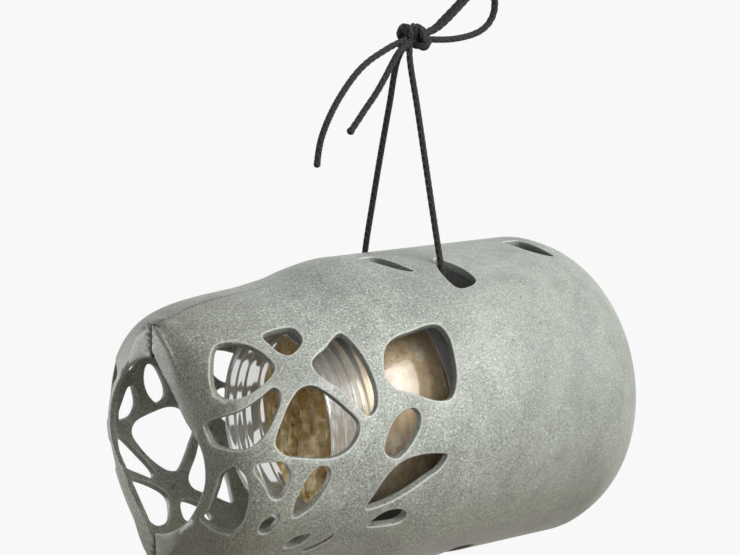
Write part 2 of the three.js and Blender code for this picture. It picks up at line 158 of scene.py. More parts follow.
def make_piece(name, work):
    """Moves a bmesh to the part's frame and makes it an object at the origin."""
    bmesh.ops.translate(work, verts=work.verts, vec=-shell_place)
    bmesh.ops.scale(work, verts=work.verts, vec=(0.001, 0.001, 0.001))
    mesh = bpy.data.meshes.new(name)
    work.to_mesh(mesh)
    work.free()
    piece = bpy.data.objects.new(name, mesh)
    scene.collection.objects.link(piece)
    mesh.shade_smooth()
    print(name, "triangles", sum(len(face.vertices) - 2 for face in mesh.polygons))
    return piece


print("the front of the long axis lies at", to_part([0, 0, 0]).tolist(), "m")


# %% [markdown]
# ## The routes of the cord
#
# One braided cord, 2 mm thick, carries the feeder. It comes up out of both shells, is knotted, leaves a
# doubled loop to hang by and ends in two short tails. Each run is a smooth curve through a few points. A
# Bezier curve object could hold it, but then every point has handles to place as well. A Catmull-Rom
# curve passes through the points it is given without any, so the next cell works one out and spaces
# points evenly along it.

# %% Points along a smooth curve
steps_in_a_span = 24


def curve_points(route, step, closed=False):
    """Evenly spaced points on a smooth curve through the points of a route."""
    route = np.asarray(route, float)
    if closed:
        ends = np.vstack([route[-1], route, route[0], route[1]])
    else:
        ends = np.vstack([2 * route[0] - route[1], route, 2 * route[-1] - route[-2]])
    spans = []
    for corners in zip(ends, ends[1:], ends[2:], ends[3:]):
        gaps = [max(np.linalg.norm(b - a), 1e-9) ** 0.5 for a, b in zip(corners, corners[1:])]
        times = np.concatenate([[0], np.cumsum(gaps)])
        t = np.linspace(times[1], times[2], steps_in_a_span, endpoint=False)[:, None]
        points = corners
        for low, high in ((times[:3], times[1:]), (times[:2], times[2:]), (times[1:2], times[2:3])):
            points = [
                (b - t) / (b - a) * start + (t - a) / (b - a) * end
                for a, b, start, end in zip(low, high, points, points[1:])
            ]
        spans.append(points[0])
    fine = np.vstack([*spans, spans[0][:1] if closed else route[-1:]])
    run = np.concatenate([[0], np.cumsum(np.linalg.norm(np.diff(fine, axis=0), axis=1))])
    spots = np.linspace(0, run[-1], max(2, int(round(run[-1] / step))) + 1)
    spaced = np.column_stack([np.interp(spots, run, fine[:, axis]) for axis in range(route.shape[1])])
    return spaced[:-1] if closed else spaced


print("points on a test curve of three:", len(curve_points([(0, 0), (3, 4), (6, 0)], 0.5)))

# %% Routes of the strands and tails
cord_diameter, loop_half_gap = 2.0, 0.9
cord_routes = {
    "cord_left_strand": [
        (105.4, -18.8, 48.9), (105.4, -18.6, 49.9), (105.3, -17.3, 55), (104.9, -13.9, 70),
        (104.4, -10, 88), (103.9, -6.1, 106), (103.4, -2.3, 123), (104.4, -1, 128.5),
    ],
    "cord_inner_run": [
        (105.4, -18.9, 48.5), (105.4, -18.6, 47), (105.3, -17.8, 45.8), (105.3, -16.6, 44.9),
        (105.2, -15, 44.4), (105.1, -11, 44.2), (104.9, -3, 43.6), (104.8, 6, 42.7), (104.8, 14, 41.7),
        (104.8, 19.5, 41.1), (104.9, 22.4, 41.1), (104.9, 24.3, 41.7), (104.9, 25.8, 42.8),
        (104.9, 26.6, 43.8), (104.9, 26.85, 44.4),
    ],
    "cord_right_strand": [
        (104.9, 27, 45), (104.9, 26.8, 47.4), (104.6, 25.2, 54), (103.6, 19.6, 70.5), (102.6, 13.4, 88.5),
        (101.8, 7.3, 106), (101.7, 2.4, 122), (104, 0.6, 128),
    ],
    "long_tail": [
        (105, -0.6, 129.6), (98, -1, 127.6), (92, -2, 125.4), (86, -3, 122.8), (81, -4, 119.9),
        (76.5, -5, 116.4), (72.4, -6, 112.6), (68.9, -7, 109), (65.9, -7.6, 105), (63.5, -8, 101),
        (61.9, -8, 97), (60.9, -8, 92.6), (60.3, -8, 88.2),
    ],
    "short_tail": [
        (105, -1.6, 129), (98.2, -3.2, 125.2), (94.6, -4, 121.3), (90.7, -5, 116.6), (86.4, -5.8, 111.6),
        (81.2, -6.4, 106.2), (77.5, -6.8, 102.2), (74.1, -7, 98.6),
    ],
}
print("cord up to the knot and beyond it:", ", ".join(cord_routes))

# %% Route of the loop
loop_route = [
    (107, 129.6), (116, 132.4), (120.2, 135.2), (124.3, 138.4), (128.2, 141.6), (131.8, 144.5),
    (135, 146.6), (138, 147.3), (140.6, 146.4), (142.3, 144), (143.1, 140.8), (142.6, 137.2),
    (140.6, 133.9), (137.4, 131.5), (133.4, 130), (128.8, 129.1), (123.6, 128.6), (118, 128.6),
    (112, 129), (107, 129.6),
]
# The loop's two cords lie side by side and part a little on the upper arm, by these shares.
parting = np.interp(range(len(loop_route)), [0, 2, 6, 9], [0.2, 0.75, 0.75, 0.15])
for name, side in (("loop_cord_front", 1), ("loop_cord_back", -1)):
    cord_routes[name] = [
        (x + side * (0.6 * share - 0.65), -loop_half_gap * side, z + side * (0.2 - 0.8 * share))
        for (x, z), share in zip(loop_route, parting)
    ]
print("runs of cord:", ", ".join(cord_routes))

# %% [markdown]
# ## The braided cord
#
# A braid is a ring of strands that cross over and under each other. A smooth tube with a bump map would
# do from afar, but up close its outline would stay straight. Here a flat grid is rolled round the route,
# and its radius swells where a strand lies on top. Two families of waves, one turning left and one
# turning right, give the crossings. The grid's UV map is kept in millimetres, so that the finish can draw
# fibres along the cord.

# %% Directions across a path
def tube_directions(path):
    """Two directions across each point of a path, carried along it so that the tube doesn't twist."""
    along = np.gradient(path, axis=0)
    along /= np.linalg.norm(along, axis=1)[:, None]
    side, sides = np.cross(along[0], [0.3, 0.8, 0.52]), []
    for direction in along:
        side = side - direction * (side @ direction)
        side = side / np.linalg.norm(side)
        sides.append(side)
    return np.array(sides), np.cross(along, np.array(sides))


straight = np.linspace([0.0, 0.0, 0.0], [0.0, 0.0, 5.0], 3)
print("across a straight path lies", np.round(tube_directions(straight)[0][0], 2))

# %% Roll a grid into a braided tube
tube_sides, braid_strands, braid_lay = 20, 4, 2.7
braid_low, braid_swing = 0.86, 0.3
bulge_place, bulge_width, tip_length = 1.2, 0.9, 0.6


def braided_tube(path, radius, swell=None):
    """A closed tube that swells where a strand lies on top. A cut end bulges by `swell` and rounds off."""
    across, up = tube_directions(path)
    run = np.concatenate([[0], np.cumsum(np.linalg.norm(np.diff(path, axis=0), axis=1))])
    work = bmesh.new()
    threads = work.loops.layers.uv.new("threads")
    bmesh.ops.create_grid(work, x_segments=len(path) - 1, y_segments=tube_sides, size=0.5, calc_uvs=True)
    flat = places(work)
    ring = np.rint((flat[:, 0] + 0.5) * (len(path) - 1)).astype(int)
    turn = 2 * math.pi * (flat[:, 1] + 0.5)
    phase = 2 * math.pi * run[ring] / braid_lay
    crossing = np.maximum(np.cos(braid_strands * turn + phase), np.cos(braid_strands * turn - phase))
    size = radius * (braid_low + braid_swing * crossing)
    if swell is not None:
        to_end = run[-1] - run[ring]
        size = size * (1 + swell * np.exp(-((to_end - bulge_place) / bulge_width) ** 2))
        size = size * np.sqrt(np.clip(to_end / tip_length, 0.15, 1))
    move_to(work, path[ring] + size[:, None] * (
        np.cos(turn)[:, None] * across[ring] + np.sin(turn)[:, None] * up[ring]
    ))
    for face in work.faces:
        for corner in face.loops:
            corner[threads].uv = (corner[threads].uv[0] * run[-1], corner[threads].uv[1])
    bmesh.ops.remove_doubles(work, verts=work.verts, dist=merge_distance)
    close_ends(work)
    return work


print("the braid repeats every", braid_lay, "mm along the cord")

# %% [markdown]
# Each run is also listed with what is on its far end, how it lies and how much its cut end swells. A
# strand starts where it leaves its shell and ends in the knot, a tail starts at the knot and ends bare, and
# the run inside the shells joins the two strands. A run could go on through the knot, but its tube would
# poke out between the lobes, so the points in the knot's core are left out.

# %% What is known of each run
knot_middle, knot_core = np.array([107.0, 0.0, 129.9]), np.array([4.2, 2.8, 2.8])
path_step = 0.25


def inside_knot(path):
    """Which points of a path lie in the middle of the knot, where they can't be seen."""
    return np.linalg.norm((path - knot_middle) / knot_core, axis=1) < 1


# Each run has its far end, how it lies, and how much its cut end swells.
cord_facts = {
    "cord_left_strand": ("knot", "taut", None),
    "cord_inner_run": ("object", "taut", None),
    "cord_right_strand": ("knot", "taut", None),
    "long_tail": ("bare", "hanging", 0.06),
    "short_tail": ("bare", "hanging", 0.2),
    "loop_cord_front": ("knot", "loose", None),
    "loop_cord_back": ("knot", "loose", None),
}
print("runs that end bare:", [name for name, facts in cord_facts.items() if facts[0] == "bare"])

# %% Cord runs
cord_pieces = {}
for name, (far_end, lay, swell) in cord_facts.items():
    path = curve_points(cord_routes[name], path_step)
    path = path[~inside_knot(path)]
    piece = make_piece(name + "_braid", braided_tube(path, cord_diameter / 2, swell=swell))
    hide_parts(name)
    cord_pieces[name] = piece

# %% [markdown]
# ## The knot
#
# The loop is tied with the cord doubled, so the knot shows a few plump lobes, each a pair of cords that
# comes out of the knot, turns over its outside and goes in again. A knot could be tied by simulating one
# long cord, but that seldom ends in the lobes of one given knot. So every lobe is drawn as a short route,
# in millimetres to the right, up and nearer from the knot's middle, and two braided tubes run side by
# side along it. One more pair fills the core.

# %% Lobes of the knot
knot_lobes = {
    "left": [
        (1.0, -0.8, -1.2), (-1.8, -0.9, -1.6), (-4.0, -0.1, -1.2), (-4.9, 1.4, -0.1), (-4.2, 2.9, 1.0),
        (-2.8, 2.6, 2.2), (-1.9, 0.9, 2.5), (-1.9, -0.9, 1.6),
    ],
    "top": [
        (-0.6, -0.6, -2.2), (-0.3, 1.8, -2.2), (0.2, 3.4, -1.0), (0.4, 3.6, 0.5), (0.1, 2.4, 1.9),
        (-0.3, 1.0, 2.0), (-0.5, -0.2, 1.2),
    ],
    "right": [
        (0.9, 1.2, -1.6), (1.5, 2.9, -0.8), (2.2, 2.9, 0.7), (2.9, 1.8, 2.1), (3.4, 0.3, 2.5),
        (3.9, -1.2, 1.5), (4.0, -1.9, -0.2), (3.0, -1.8, -1.6),
    ],
    "low_right": [
        (4.6, -0.6, -1.6), (4.8, -2.2, -0.5), (4.0, -3.2, 0.7), (2.6, -3.4, 1.1), (1.2, -3.0, 0.5),
        (0.6, -1.8, -0.8),
    ],
    "low_left": [
        (0.3, -0.2, -0.8), (-1.0, -1.6, 0.9), (-2.6, -3.0, 1.4), (-4.2, -3.6, 0.6), (-4.6, -2.8, -0.9),
        (-3.0, -1.2, -1.6),
    ],
    "core": [(-4.0, -0.6, -0.4), (-2, -0.2, -0.4), (0, -0.2, -0.6), (2, 0.1, -0.4), (5.4, 0.2, -0.2)],
}
print("pairs of cord in the knot:", len(knot_lobes))

# %% Tie the knot
knot_right, knot_up = np.array([0.809, -0.588, 0.0]), np.array([0.101, 0.139, 0.985])
knot_near = np.array([-0.579, -0.797, 0.171])
pair_half_gap, knot_cord_radius = 0.72, 1.02


def cord_pair(route):
    """The middle lines of two cords that run side by side along a lobe."""
    right, up, near = curve_points(route, path_step).T[:, :, None]
    middle = knot_middle + right * knot_right + up * knot_up + near * knot_near
    outwards = middle - knot_middle
    beside = np.cross(np.gradient(middle, axis=0), outwards)
    beside /= np.linalg.norm(beside, axis=1)[:, None]
    return middle - pair_half_gap * beside, middle + pair_half_gap * beside


knot_work = bmesh.new()
knot_work.loops.layers.uv.new("threads")
for route in knot_lobes.values():
    for path in cord_pair(route):
        add_to(knot_work, braided_tube(path, knot_cord_radius))
knot = make_piece("tied_knot", knot_work)
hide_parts("hang_knot")

# %% [markdown]
# ## The shape of a half shell
#
# A half shell could be carved out of a block with boolean cuts, but their edges come out sharp and ragged
# on a curved wall. Instead the wall is laid out flat, as a tailor lays out cloth. One way across the
# sheet is the distance `s` along the side outline, from the front round to the rear. The other is the arc
# round the axis, from the top seam to the bottom seam. The next cells give the outline and three tables
# that draw the round body in at the seams, square its nose and flatten its roof, as shares of the radius.

# %% Tables of the body
shell_length, shell_radius, wall = 180.0, 55.0, 3.0
seam_gap = 0.3
side_outline = np.array([
    [0, 0], [0.0014, 0.42], [0.006, 0.545], [0.014, 0.62], [0.025, 0.713], [0.039, 0.785], [0.058, 0.845],
    [0.098, 0.903], [0.154, 0.943], [0.222, 0.976], [0.3, 0.995], [0.365, 1], [0.42, 1], [0.64, 1],
    [0.86, 1], [0.903, 0.964], [0.948, 0.875], [0.977, 0.744], [0.993, 0.58], [1, 0.418], [1, 0],
]) * [shell_length, shell_radius]
pinch_rows = [
    [0, 0], [0.014, 0], [0.025, 0.02], [0.053, 0.065], [0.098, 0.086], [0.154, 0.097], [0.222, 0.109],
    [0.3, 0.087], [0.365, 0.03], [0.42, 0], [1, 0],
]
crest_rows = [
    [0, 0.6], [0.0014, 0.6], [0.006, 0.31], [0.014, 0.18], [0.025, 0.08], [0.039, 0.02], [0.058, 0], [1, 0],
]
roof_rows = [[0, 0.03], [0.03, 0.05], [0.1, 0.05], [0.22, 0.03], [0.35, 0], [1, 0]]
crest_sharpness, roof_sharpness = 8, 1.15
print("the feeder is", shell_length, "mm long and", 2 * shell_radius, "mm across")

# %% Make a smooth function of a table
def smooth_table(rows):
    """A smooth function through [place, value] rows, which never overshoots them."""
    x, y = np.asarray(rows, float).T
    width, slope = np.diff(x), np.diff(y) / np.diff(x)
    tangent = np.zeros_like(y)
    tangent[0], tangent[-1] = slope[0], slope[-1]
    same_way = slope[:-1] * slope[1:] > 0
    near, far = 2 * width[1:] + width[:-1], width[1:] + 2 * width[:-1]
    before, after = np.where(same_way, slope[:-1], 1), np.where(same_way, slope[1:], 1)
    tangent[1:-1] = np.where(same_way, (near + far) / (near / before + far / after), 0)

    def value(place):
        place = np.clip(place, x[0], x[-1])
        i = np.clip(np.searchsorted(x, place) - 1, 0, len(width) - 1)
        t = (place - x[i]) / width[i]
        start = (1 + 2 * t) * (1 - t) ** 2 * y[i] + t * (1 - t) ** 2 * width[i] * tangent[i]
        end = t * t * (3 - 2 * t) * y[i + 1] + t * t * (t - 1) * width[i] * tangent[i + 1]
        return start + end

    return value


pinch, crest, roof = smooth_table(pinch_rows), smooth_table(crest_rows), smooth_table(roof_rows)
print("the seams are drawn in by up to", max(value for place, value in pinch_rows), "of the radius")

# %% Roll the flat sheet up
outline_run = np.concatenate([[0], np.cumsum(np.linalg.norm(np.diff(side_outline, axis=0), axis=1))])
run_length = outline_run[-1]
outline_x = smooth_table(np.column_stack([outline_run, side_outline[:, 0]]))
outline_r = smooth_table(np.column_stack([outline_run, side_outline[:, 1]]))
slope_step = 0.05


def body_scale(share, turn):
    """How far the round body is drawn in or out, at a share of its length and a turn from the top seam."""
    upper = np.maximum(0, np.sin(2 * turn)) ** roof_sharpness
    painted_keel_shade = crest(share) * np.cos(turn) ** crest_sharpness
    return 1 - pinch(share) * np.cos(turn) ** 2 + painted_keel_shade - roof(share) * upper


def rolled(s, across, depth):
    """Points of the wall, at a depth under its outer face, from points of the flat sheet."""
    turn = np.clip(across / np.maximum(outline_r(s), 1e-3) + math.pi / 2, 0, math.pi)
    dx = outline_x(s + slope_step) - outline_x(s - slope_step)
    dr = outline_r(s + slope_step) - outline_r(s - slope_step)
    size = np.maximum(np.hypot(dx, dr), 1e-9)
    radius = np.maximum(outline_r(s) - dx / size * depth, 0) * body_scale(outline_x(s) / shell_length, turn)
    y = -np.maximum(radius * np.sin(turn), seam_gap / 2)
    return np.column_stack([outline_x(s) + dr / size * depth, y, radius * np.cos(turn)])


print("the side outline is", round(float(run_length), 1), "mm long")

# %% [markdown]
# ## The windows
#
# The windows are the feeder's pattern: leaf and pebble shapes that thin out towards the rear. Ovals would
# be quicker to place, but the ribs between them would lose their flow. So each is a closed smooth curve
# through a few points, given as a share of the length from the front and a share of the half turn from
# the top seam. The two halves are one moulding, so each window is drawn once. The front opening is an
# outline seen from the front, in shares of the radius out from the middle plane and up from the axis.

# %% Outline of the front opening
front_opening = [
    [0, 0.58], [0.13, 0.4565], [0.27, 0.3235], [0.4, 0.2], [0.446, 0.163], [0.495, 0.122], [0.532, 0.07],
    [0.551, 0.015], [0.557, -0.06], [0.541, -0.14], [0.49, -0.23], [0.42, -0.322], [0.343, -0.396],
    [0.25, -0.455], [0.13, -0.51], [0, -0.54],
]
print("the front opening reaches", max(out for out, up in front_opening), "of the radius to the side")

# %% Windows of the lattice
windows = {
    "upper_front": [
        [0.062, 0.176], [0.104, 0.196], [0.132, 0.25], [0.134, 0.284], [0.09, 0.322], [0.05, 0.331],
        [0.031, 0.305], [0.033, 0.24],
    ],
    "brow": [
        [0.148, 0.19], [0.205, 0.188], [0.213, 0.212], [0.207, 0.236], [0.172, 0.26], [0.158, 0.248],
        [0.149, 0.22],
    ],
    "upper_middle": [
        [0.282, 0.238], [0.243, 0.263], [0.206, 0.289], [0.204, 0.313], [0.24, 0.366], [0.276, 0.42],
        [0.293, 0.412], [0.304, 0.38], [0.302, 0.31], [0.295, 0.27],
    ],
    "middle_front": [
        [0.119, 0.328], [0.126, 0.344], [0.102, 0.392], [0.062, 0.442], [0.036, 0.452], [0.018, 0.441],
        [0.012, 0.4], [0.014, 0.366], [0.046, 0.363], [0.086, 0.345],
    ],
    "kite": [
        [0.186, 0.341], [0.165, 0.342], [0.143, 0.36], [0.112, 0.405], [0.094, 0.448], [0.106, 0.469],
        [0.14, 0.481], [0.2, 0.488], [0.238, 0.47], [0.256, 0.434], [0.236, 0.398], [0.206, 0.358],
    ],
    "lower_front": [
        [0.031, 0.492], [0.041, 0.506], [0.048, 0.54], [0.049, 0.6], [0.043, 0.66], [0.026, 0.69],
        [0.012, 0.7], [0.014, 0.64], [0.016, 0.57], [0.021, 0.51],
    ],
    "lower_middle": [
        [0.058, 0.488], [0.078, 0.483], [0.103, 0.487], [0.115, 0.508], [0.112, 0.535], [0.099, 0.562],
        [0.087, 0.562], [0.071, 0.53], [0.057, 0.502],
    ],
    "lower_leaf": [
        [0.17, 0.502], [0.188, 0.508], [0.191, 0.526], [0.176, 0.563], [0.152, 0.597], [0.131, 0.61],
        [0.128, 0.585], [0.135, 0.55], [0.15, 0.52],
    ],
}
print("windows of the lattice:", ", ".join(windows))

# %% Windows of the keel and the rear
windows |= {
    "low_spot": [
        [0.1, 0.597], [0.105, 0.608], [0.096, 0.643], [0.083, 0.653], [0.076, 0.645], [0.079, 0.618],
    ],
    "keel_leaf": [
        [0.136, 0.694], [0.148, 0.668], [0.175, 0.658], [0.176, 0.668], [0.164, 0.69], [0.146, 0.7],
    ],
    "keel_slit": [
        [0.18, 0.714], [0.204, 0.692], [0.228, 0.667], [0.224, 0.683], [0.205, 0.706], [0.186, 0.721],
    ],
    "upper_rear": [
        [0.378, 0.278], [0.414, 0.271], [0.458, 0.263], [0.483, 0.266], [0.493, 0.29], [0.49, 0.33],
        [0.479, 0.385], [0.461, 0.413], [0.43, 0.414], [0.385, 0.395], [0.342, 0.374], [0.331, 0.345],
        [0.35, 0.296],
    ],
    "middle_rear": [
        [0.374, 0.42], [0.385, 0.432], [0.384, 0.452], [0.36, 0.488], [0.33, 0.51], [0.308, 0.5],
        [0.302, 0.488], [0.318, 0.45], [0.342, 0.427],
    ],
    "rear_leaf": [
        [0.276, 0.607], [0.29, 0.572], [0.316, 0.535], [0.346, 0.517], [0.385, 0.512], [0.425, 0.516],
        [0.444, 0.522], [0.43, 0.545], [0.4, 0.562], [0.352, 0.588], [0.31, 0.604],
    ],
    "rear_spot": [
        [0.293, 0.655], [0.302, 0.638], [0.32, 0.624], [0.346, 0.621], [0.367, 0.63], [0.372, 0.644],
        [0.362, 0.656], [0.322, 0.66],
    ],
}
print("windows with those of the keel and the rear:", len(windows))

# %% Slits and cord holes
windows |= {
    "crest_slit": [
        [0.452, 0.02], [0.484, 0.02], [0.497, 0.05], [0.507, 0.085], [0.515, 0.113], [0.49, 0.1],
        [0.464, 0.06],
    ],
    "cord_hole": [
        [0.598, 0.072], [0.616, 0.1], [0.628, 0.132], [0.63, 0.166], [0.611, 0.18], [0.576, 0.182],
        [0.568, 0.145], [0.577, 0.105],
    ],
    "rear_slit": [
        [0.808, 0.022], [0.84, 0.024], [0.852, 0.06], [0.857, 0.09], [0.86, 0.122], [0.83, 0.1],
        [0.81, 0.06],
    ],
}
windows["cord_hole_turned"] = [[along, 1 - turn] for along, turn in windows["cord_hole"]]
print("windows in one half:", ", ".join(windows))

# %% Draw them on the sheet
edge_step, rear_flat, nose_length = 0.85, 0.43 * shell_radius, 60
# Fine rows of s, in which a place on the wall or a radius on the nose is looked up.
wall_run = np.linspace(0.5, run_length - rear_flat, 4000)
nose_run = np.linspace(0, nose_length, 3000)


def sheet_from_wall(shares):
    """An outline in shares of the length and of the half turn, as points of the flat sheet."""
    corners = np.array(shares) * [shell_length, math.pi * shell_radius]
    x, arc = curve_points(corners, edge_step, closed=True).T
    s = np.interp(x, outline_x(wall_run), wall_run)
    return np.column_stack([s, (arc / shell_radius - math.pi / 2) * outline_r(s)])


def sheet_from_front(shares):
    """An outline seen from the front, in shares of the radius, as points of the flat sheet."""
    out, up = curve_points(np.array(shares) * shell_radius, edge_step).T
    turn, radius = np.arctan2(out, up), np.hypot(out, up)
    nose_share, nose_radius = outline_x(nose_run) / shell_length, outline_r(nose_run)
    s = np.array([
        np.interp(reach, nose_radius * body_scale(nose_share, angle), nose_run)
        for angle, reach in zip(turn, radius)
    ])
    return np.column_stack([s, (turn - math.pi / 2) * outline_r(s)])


window_loops = [sheet_from_wall(shares) for shares in windows.values()]
opening = sheet_from_front(front_opening)
before_the_sheet = [-5, 0]
opening_area = np.vstack([opening, before_the_sheet])
print("points on the windows' outlines", sum(map(len, window_loops)))

# %% [markdown]
# ## The flat sheet
#
# No bmesh operator fills a pierced sheet with even triangles, and a grid with its faces deleted would
# leave stepped windows. So the sheet is triangulated with the windows' outlines as fixed edges, a
# constrained Delaunay triangulation, and each outline is a clean row of vertices. Extra rows of points
# follow every outline and the seam closely, where the wall will curve over, and a loose grid fills the
# rest. Distances are measured in space, on the rolled-up wall, because the sheet stretches towards the
# nose.

# %% Is a point on the sheet?
rear_margin = 0.3


def inside(points, polygon):
    """Which points lie inside a closed outline."""
    x, y = points.T
    hit = np.zeros(len(points), bool)
    near = (x >= polygon[:, 0].min()) & (x <= polygon[:, 0].max())
    near &= (y >= polygon[:, 1].min()) & (y <= polygon[:, 1].max())
    px, py = x[near], y[near]
    crossed = np.zeros(len(px), bool)
    for (ax, ay), (bx, by) in zip(polygon, np.roll(polygon, -1, 0)):
        if ay != by:
            crossed ^= ((ay > py) != (by > py)) & (px < (bx - ax) * (py - ay) / (by - ay) + ax)
    hit[near] = crossed
    return hit


def on_sheet(points, margin=0.03):
    """Which points lie on the sheet, off its windows and at least a margin from the seams."""
    good = np.abs(points[:, 1]) < math.pi / 2 * outline_r(points[:, 0]) - margin
    good &= points[:, 0] < run_length - rear_margin
    for area in [*window_loops, opening_area]:
        good &= ~inside(points, area)
    return good


print("is a point of the rear half way up on it?", bool(on_sheet(np.array([[150.0, 0.0]]))[0]))

# %% How far is it from the outlines?
batch = 1500


def gap_to(points, lines):
    """Distance in space from each point to the nearest of the lines."""
    start, along = lines[0], lines[1] - lines[0]
    size = np.maximum((along ** 2).sum(1), 1e-12)
    nearest = []
    for first in range(0, len(points), batch):
        offset = points[first:first + batch, None] - start[None]
        t = np.clip((offset * along).sum(2) / size, 0, 1)
        nearest.append(np.linalg.norm(offset - t[..., None] * along, axis=2).min(1))
    return np.concatenate(nearest)


window_lines = (
    np.vstack([rolled(*loop.T, 0) for loop in window_loops]),
    np.vstack([rolled(*np.roll(loop, -1, 0).T, 0) for loop in window_loops]),
)
opening_lines = rolled(*opening[:-1].T, 0), rolled(*opening[1:].T, 0)
all_lines = tuple(np.vstack(pair) for pair in zip(window_lines, opening_lines))
print("pieces of outline", len(all_lines[0]))

# %% Fixed outlines
sheet_points, fixed_edges, seam_step = [], [], 1.4


def add_outline(points, closed):
    """Adds a row of points to the sheet, joined by fixed edges."""
    first, count = len(sheet_points), len(points)
    sheet_points.extend(map(tuple, points))
    fixed_edges.extend((first + i, first + (i + 1) % count) for i in range(count if closed else count - 1))


for loop in window_loops:
    add_outline(loop, True)
add_outline(opening, False)
for side, start in ((-1, opening[0, 0]), (1, opening[-1, 0])):
    s = np.linspace(start, run_length, int((run_length - start) / seam_step))
    add_outline(np.column_stack([s, side * math.pi / 2 * outline_r(s)]), False)
print("fixed edges", len(fixed_edges))

# %% Rows along the outlines
window_rounding, opening_rounding, row_shares = 0.6, 0.5, np.array([0.1, 0.3, 0.6, 1.0])
row_clearance = 0.82
loose = []
for loop in [*window_loops, opening]:
    closed = loop is not opening
    rounding = window_rounding if closed else opening_rounding
    along = np.roll(loop, -1, 0) - np.roll(loop, 1, 0) if closed else np.gradient(loop, axis=0)
    normal = np.column_stack([along[:, 1], -along[:, 0]]) / np.linalg.norm(along, axis=1)[:, None]
    for distance in rounding * row_shares:
        for side in (-1, 1):
            row = loop + normal * side * distance
            row = row[on_sheet(row)]
            if len(row):
                loose.append(row[gap_to(rolled(*row.T, 0), all_lines) > distance * row_clearance])
print("points along the outlines", sum(map(len, loose)))

# %% Rows along the seam
seam_rounding, seam_rows, clear_of_outlines = 0.35, (0.06, 0.18, 0.4, 1.62, 1.8), 0.3
s = np.arange(opening[:, 0].min(), run_length - 2, seam_step)
for distance in seam_rows:
    for side in (-1, 1):
        row = np.column_stack([s, side * (math.pi / 2 * outline_r(s) - distance)])
        row = row[on_sheet(row)]
        loose.append(row[gap_to(rolled(*row.T, 0), all_lines) > clear_of_outlines])
print("points in all rows", sum(map(len, loose)))

# %% A loose grid in between
grid_step, grid_to_seam, grid_to_rims = 1.9, 2.5, 1.5
grid = []
for i, s in enumerate(np.arange(opening[:, 0].min(), run_length, grid_step)):
    half_width = math.pi / 2 * float(outline_r(s))
    count = max(1, round(2 * half_width / grid_step))
    across = -half_width + (np.arange(count) + 0.5 * (i % 2)) * 2 * half_width / count
    grid.append(np.column_stack([np.full(count, s), across]))
grid = np.vstack(grid)
grid = grid[on_sheet(grid, grid_to_seam)]
loose.append(grid[gap_to(rolled(*grid.T, 0), all_lines) > grid_to_rims])
sheet_points.extend(map(tuple, np.vstack(loose)))
print("points on the sheet", len(sheet_points))

# %% [markdown]
# The triangles become the faces of a bmesh that still lies flat. Extruding the whole sheet gives it
# thickness and walls its windows in one step. Before that, each vertex stores how deep its two copies
# will lie under the outer face, and the extrusion copies these numbers with it. Near a window's edge the
# two faces curve towards each other on a small radius, which rounds every rim as the moulding's are. Near
# the upper seam the inner face steps out, which leaves the rebate for the other half's lip. Towards the
# front opening the wall thins to 1.3 mm. A third number marks the rims for the finish.

# %% Triangulate the sheet
sheet_corners = [Vector(point) for point in sheet_points]
flat_points, _, flat_faces = delaunay_2d_cdt(sheet_corners, fixed_edges, [], 0, 1e-5)[:3]
flat = np.array([tuple(point) for point in flat_points])
faces = np.array([face for face in flat_faces if len(face) == 3])
faces = faces[on_sheet(flat[faces].mean(1), 0)]
sheet_mesh = bpy.data.meshes.new("sheet")
sheet_mesh.from_pydata([(s, across, 0) for s, across in flat.tolist()], [], faces.tolist())
shell_work = bmesh.new()
shell_work.from_mesh(sheet_mesh)
bpy.data.meshes.remove(sheet_mesh)
loose_ends = [vertex for vertex in shell_work.verts if not vertex.link_faces]
bmesh.ops.delete(shell_work, geom=loose_ends, context="VERTS")
print("triangles of the sheet", len(shell_work.faces))

# %% Work out the depths
rebate_width, front_wall, thinning_length, least_wall, rim_fade = 1.7, 1.3, 7, 0.05, 0.5


def curve_over(distance, rounding):
    """How far a rounded edge has dropped at a distance from it."""
    reach = np.clip(rounding - distance, 0, rounding)
    return rounding - np.sqrt(rounding ** 2 - reach ** 2)


s, across, _ = places(shell_work).T
skin = rolled(s, across, 0)
seam_distance = -skin[:, 1] - seam_gap / 2
to_window, to_opening = gap_to(skin, window_lines), gap_to(skin, opening_lines)
drop = np.maximum(curve_over(to_window, window_rounding), curve_over(to_opening, opening_rounding))
outer_depth = np.maximum(drop, curve_over(seam_distance, seam_rounding))
upper = skin[:, 2] > -0.3
rebate = (seam_distance < rebate_width) & upper
inner_depth = np.where(rebate, np.minimum(wall - drop, wall / 2), wall - drop)
thinned = front_wall + (wall - front_wall) * np.clip(to_opening / thinning_length, 0, 1)
inner_depth = np.maximum(np.minimum(inner_depth, thinned), outer_depth + least_wall)
rim = np.exp(-to_window / rim_fade)
print("thinnest rim", round(float((inner_depth - outer_depth).min()), 2), "mm")

# %% Store them on the sheet
outer_layer = shell_work.verts.layers.float.new("outer depth")
inner_layer = shell_work.verts.layers.float.new("inner depth")
rim_layer = shell_work.verts.layers.float.new("rim")
for vertex, outer, inner, edge in zip(shell_work.verts, outer_depth, inner_depth, rim):
    vertex[outer_layer], vertex[inner_layer], vertex[rim_layer] = float(outer), float(inner), float(edge)
print("layers on the sheet:", shell_work.verts.layers.float.keys())

# %% Extrude it and roll it up
copied = bmesh.ops.extrude_face_region(
    shell_work, geom=shell_work.faces[:] + shell_work.edges[:], use_keep_orig=True,
)
under = [item for item in copied["geom"] if isinstance(item, bmesh.types.BMVert)]
bmesh.ops.translate(shell_work, verts=under, vec=(0, 0, -1))
s, across, level = places(shell_work).T
outer_depth = np.array([vertex[outer_layer] for vertex in shell_work.verts])
inner_depth = np.array([vertex[inner_layer] for vertex in shell_work.verts])
move_to(shell_work, rolled(s, across, np.where(level < -0.5, inner_depth, outer_depth)))
close_up(shell_work)
print("open edges", sum(edge.is_boundary for edge in shell_work.edges))

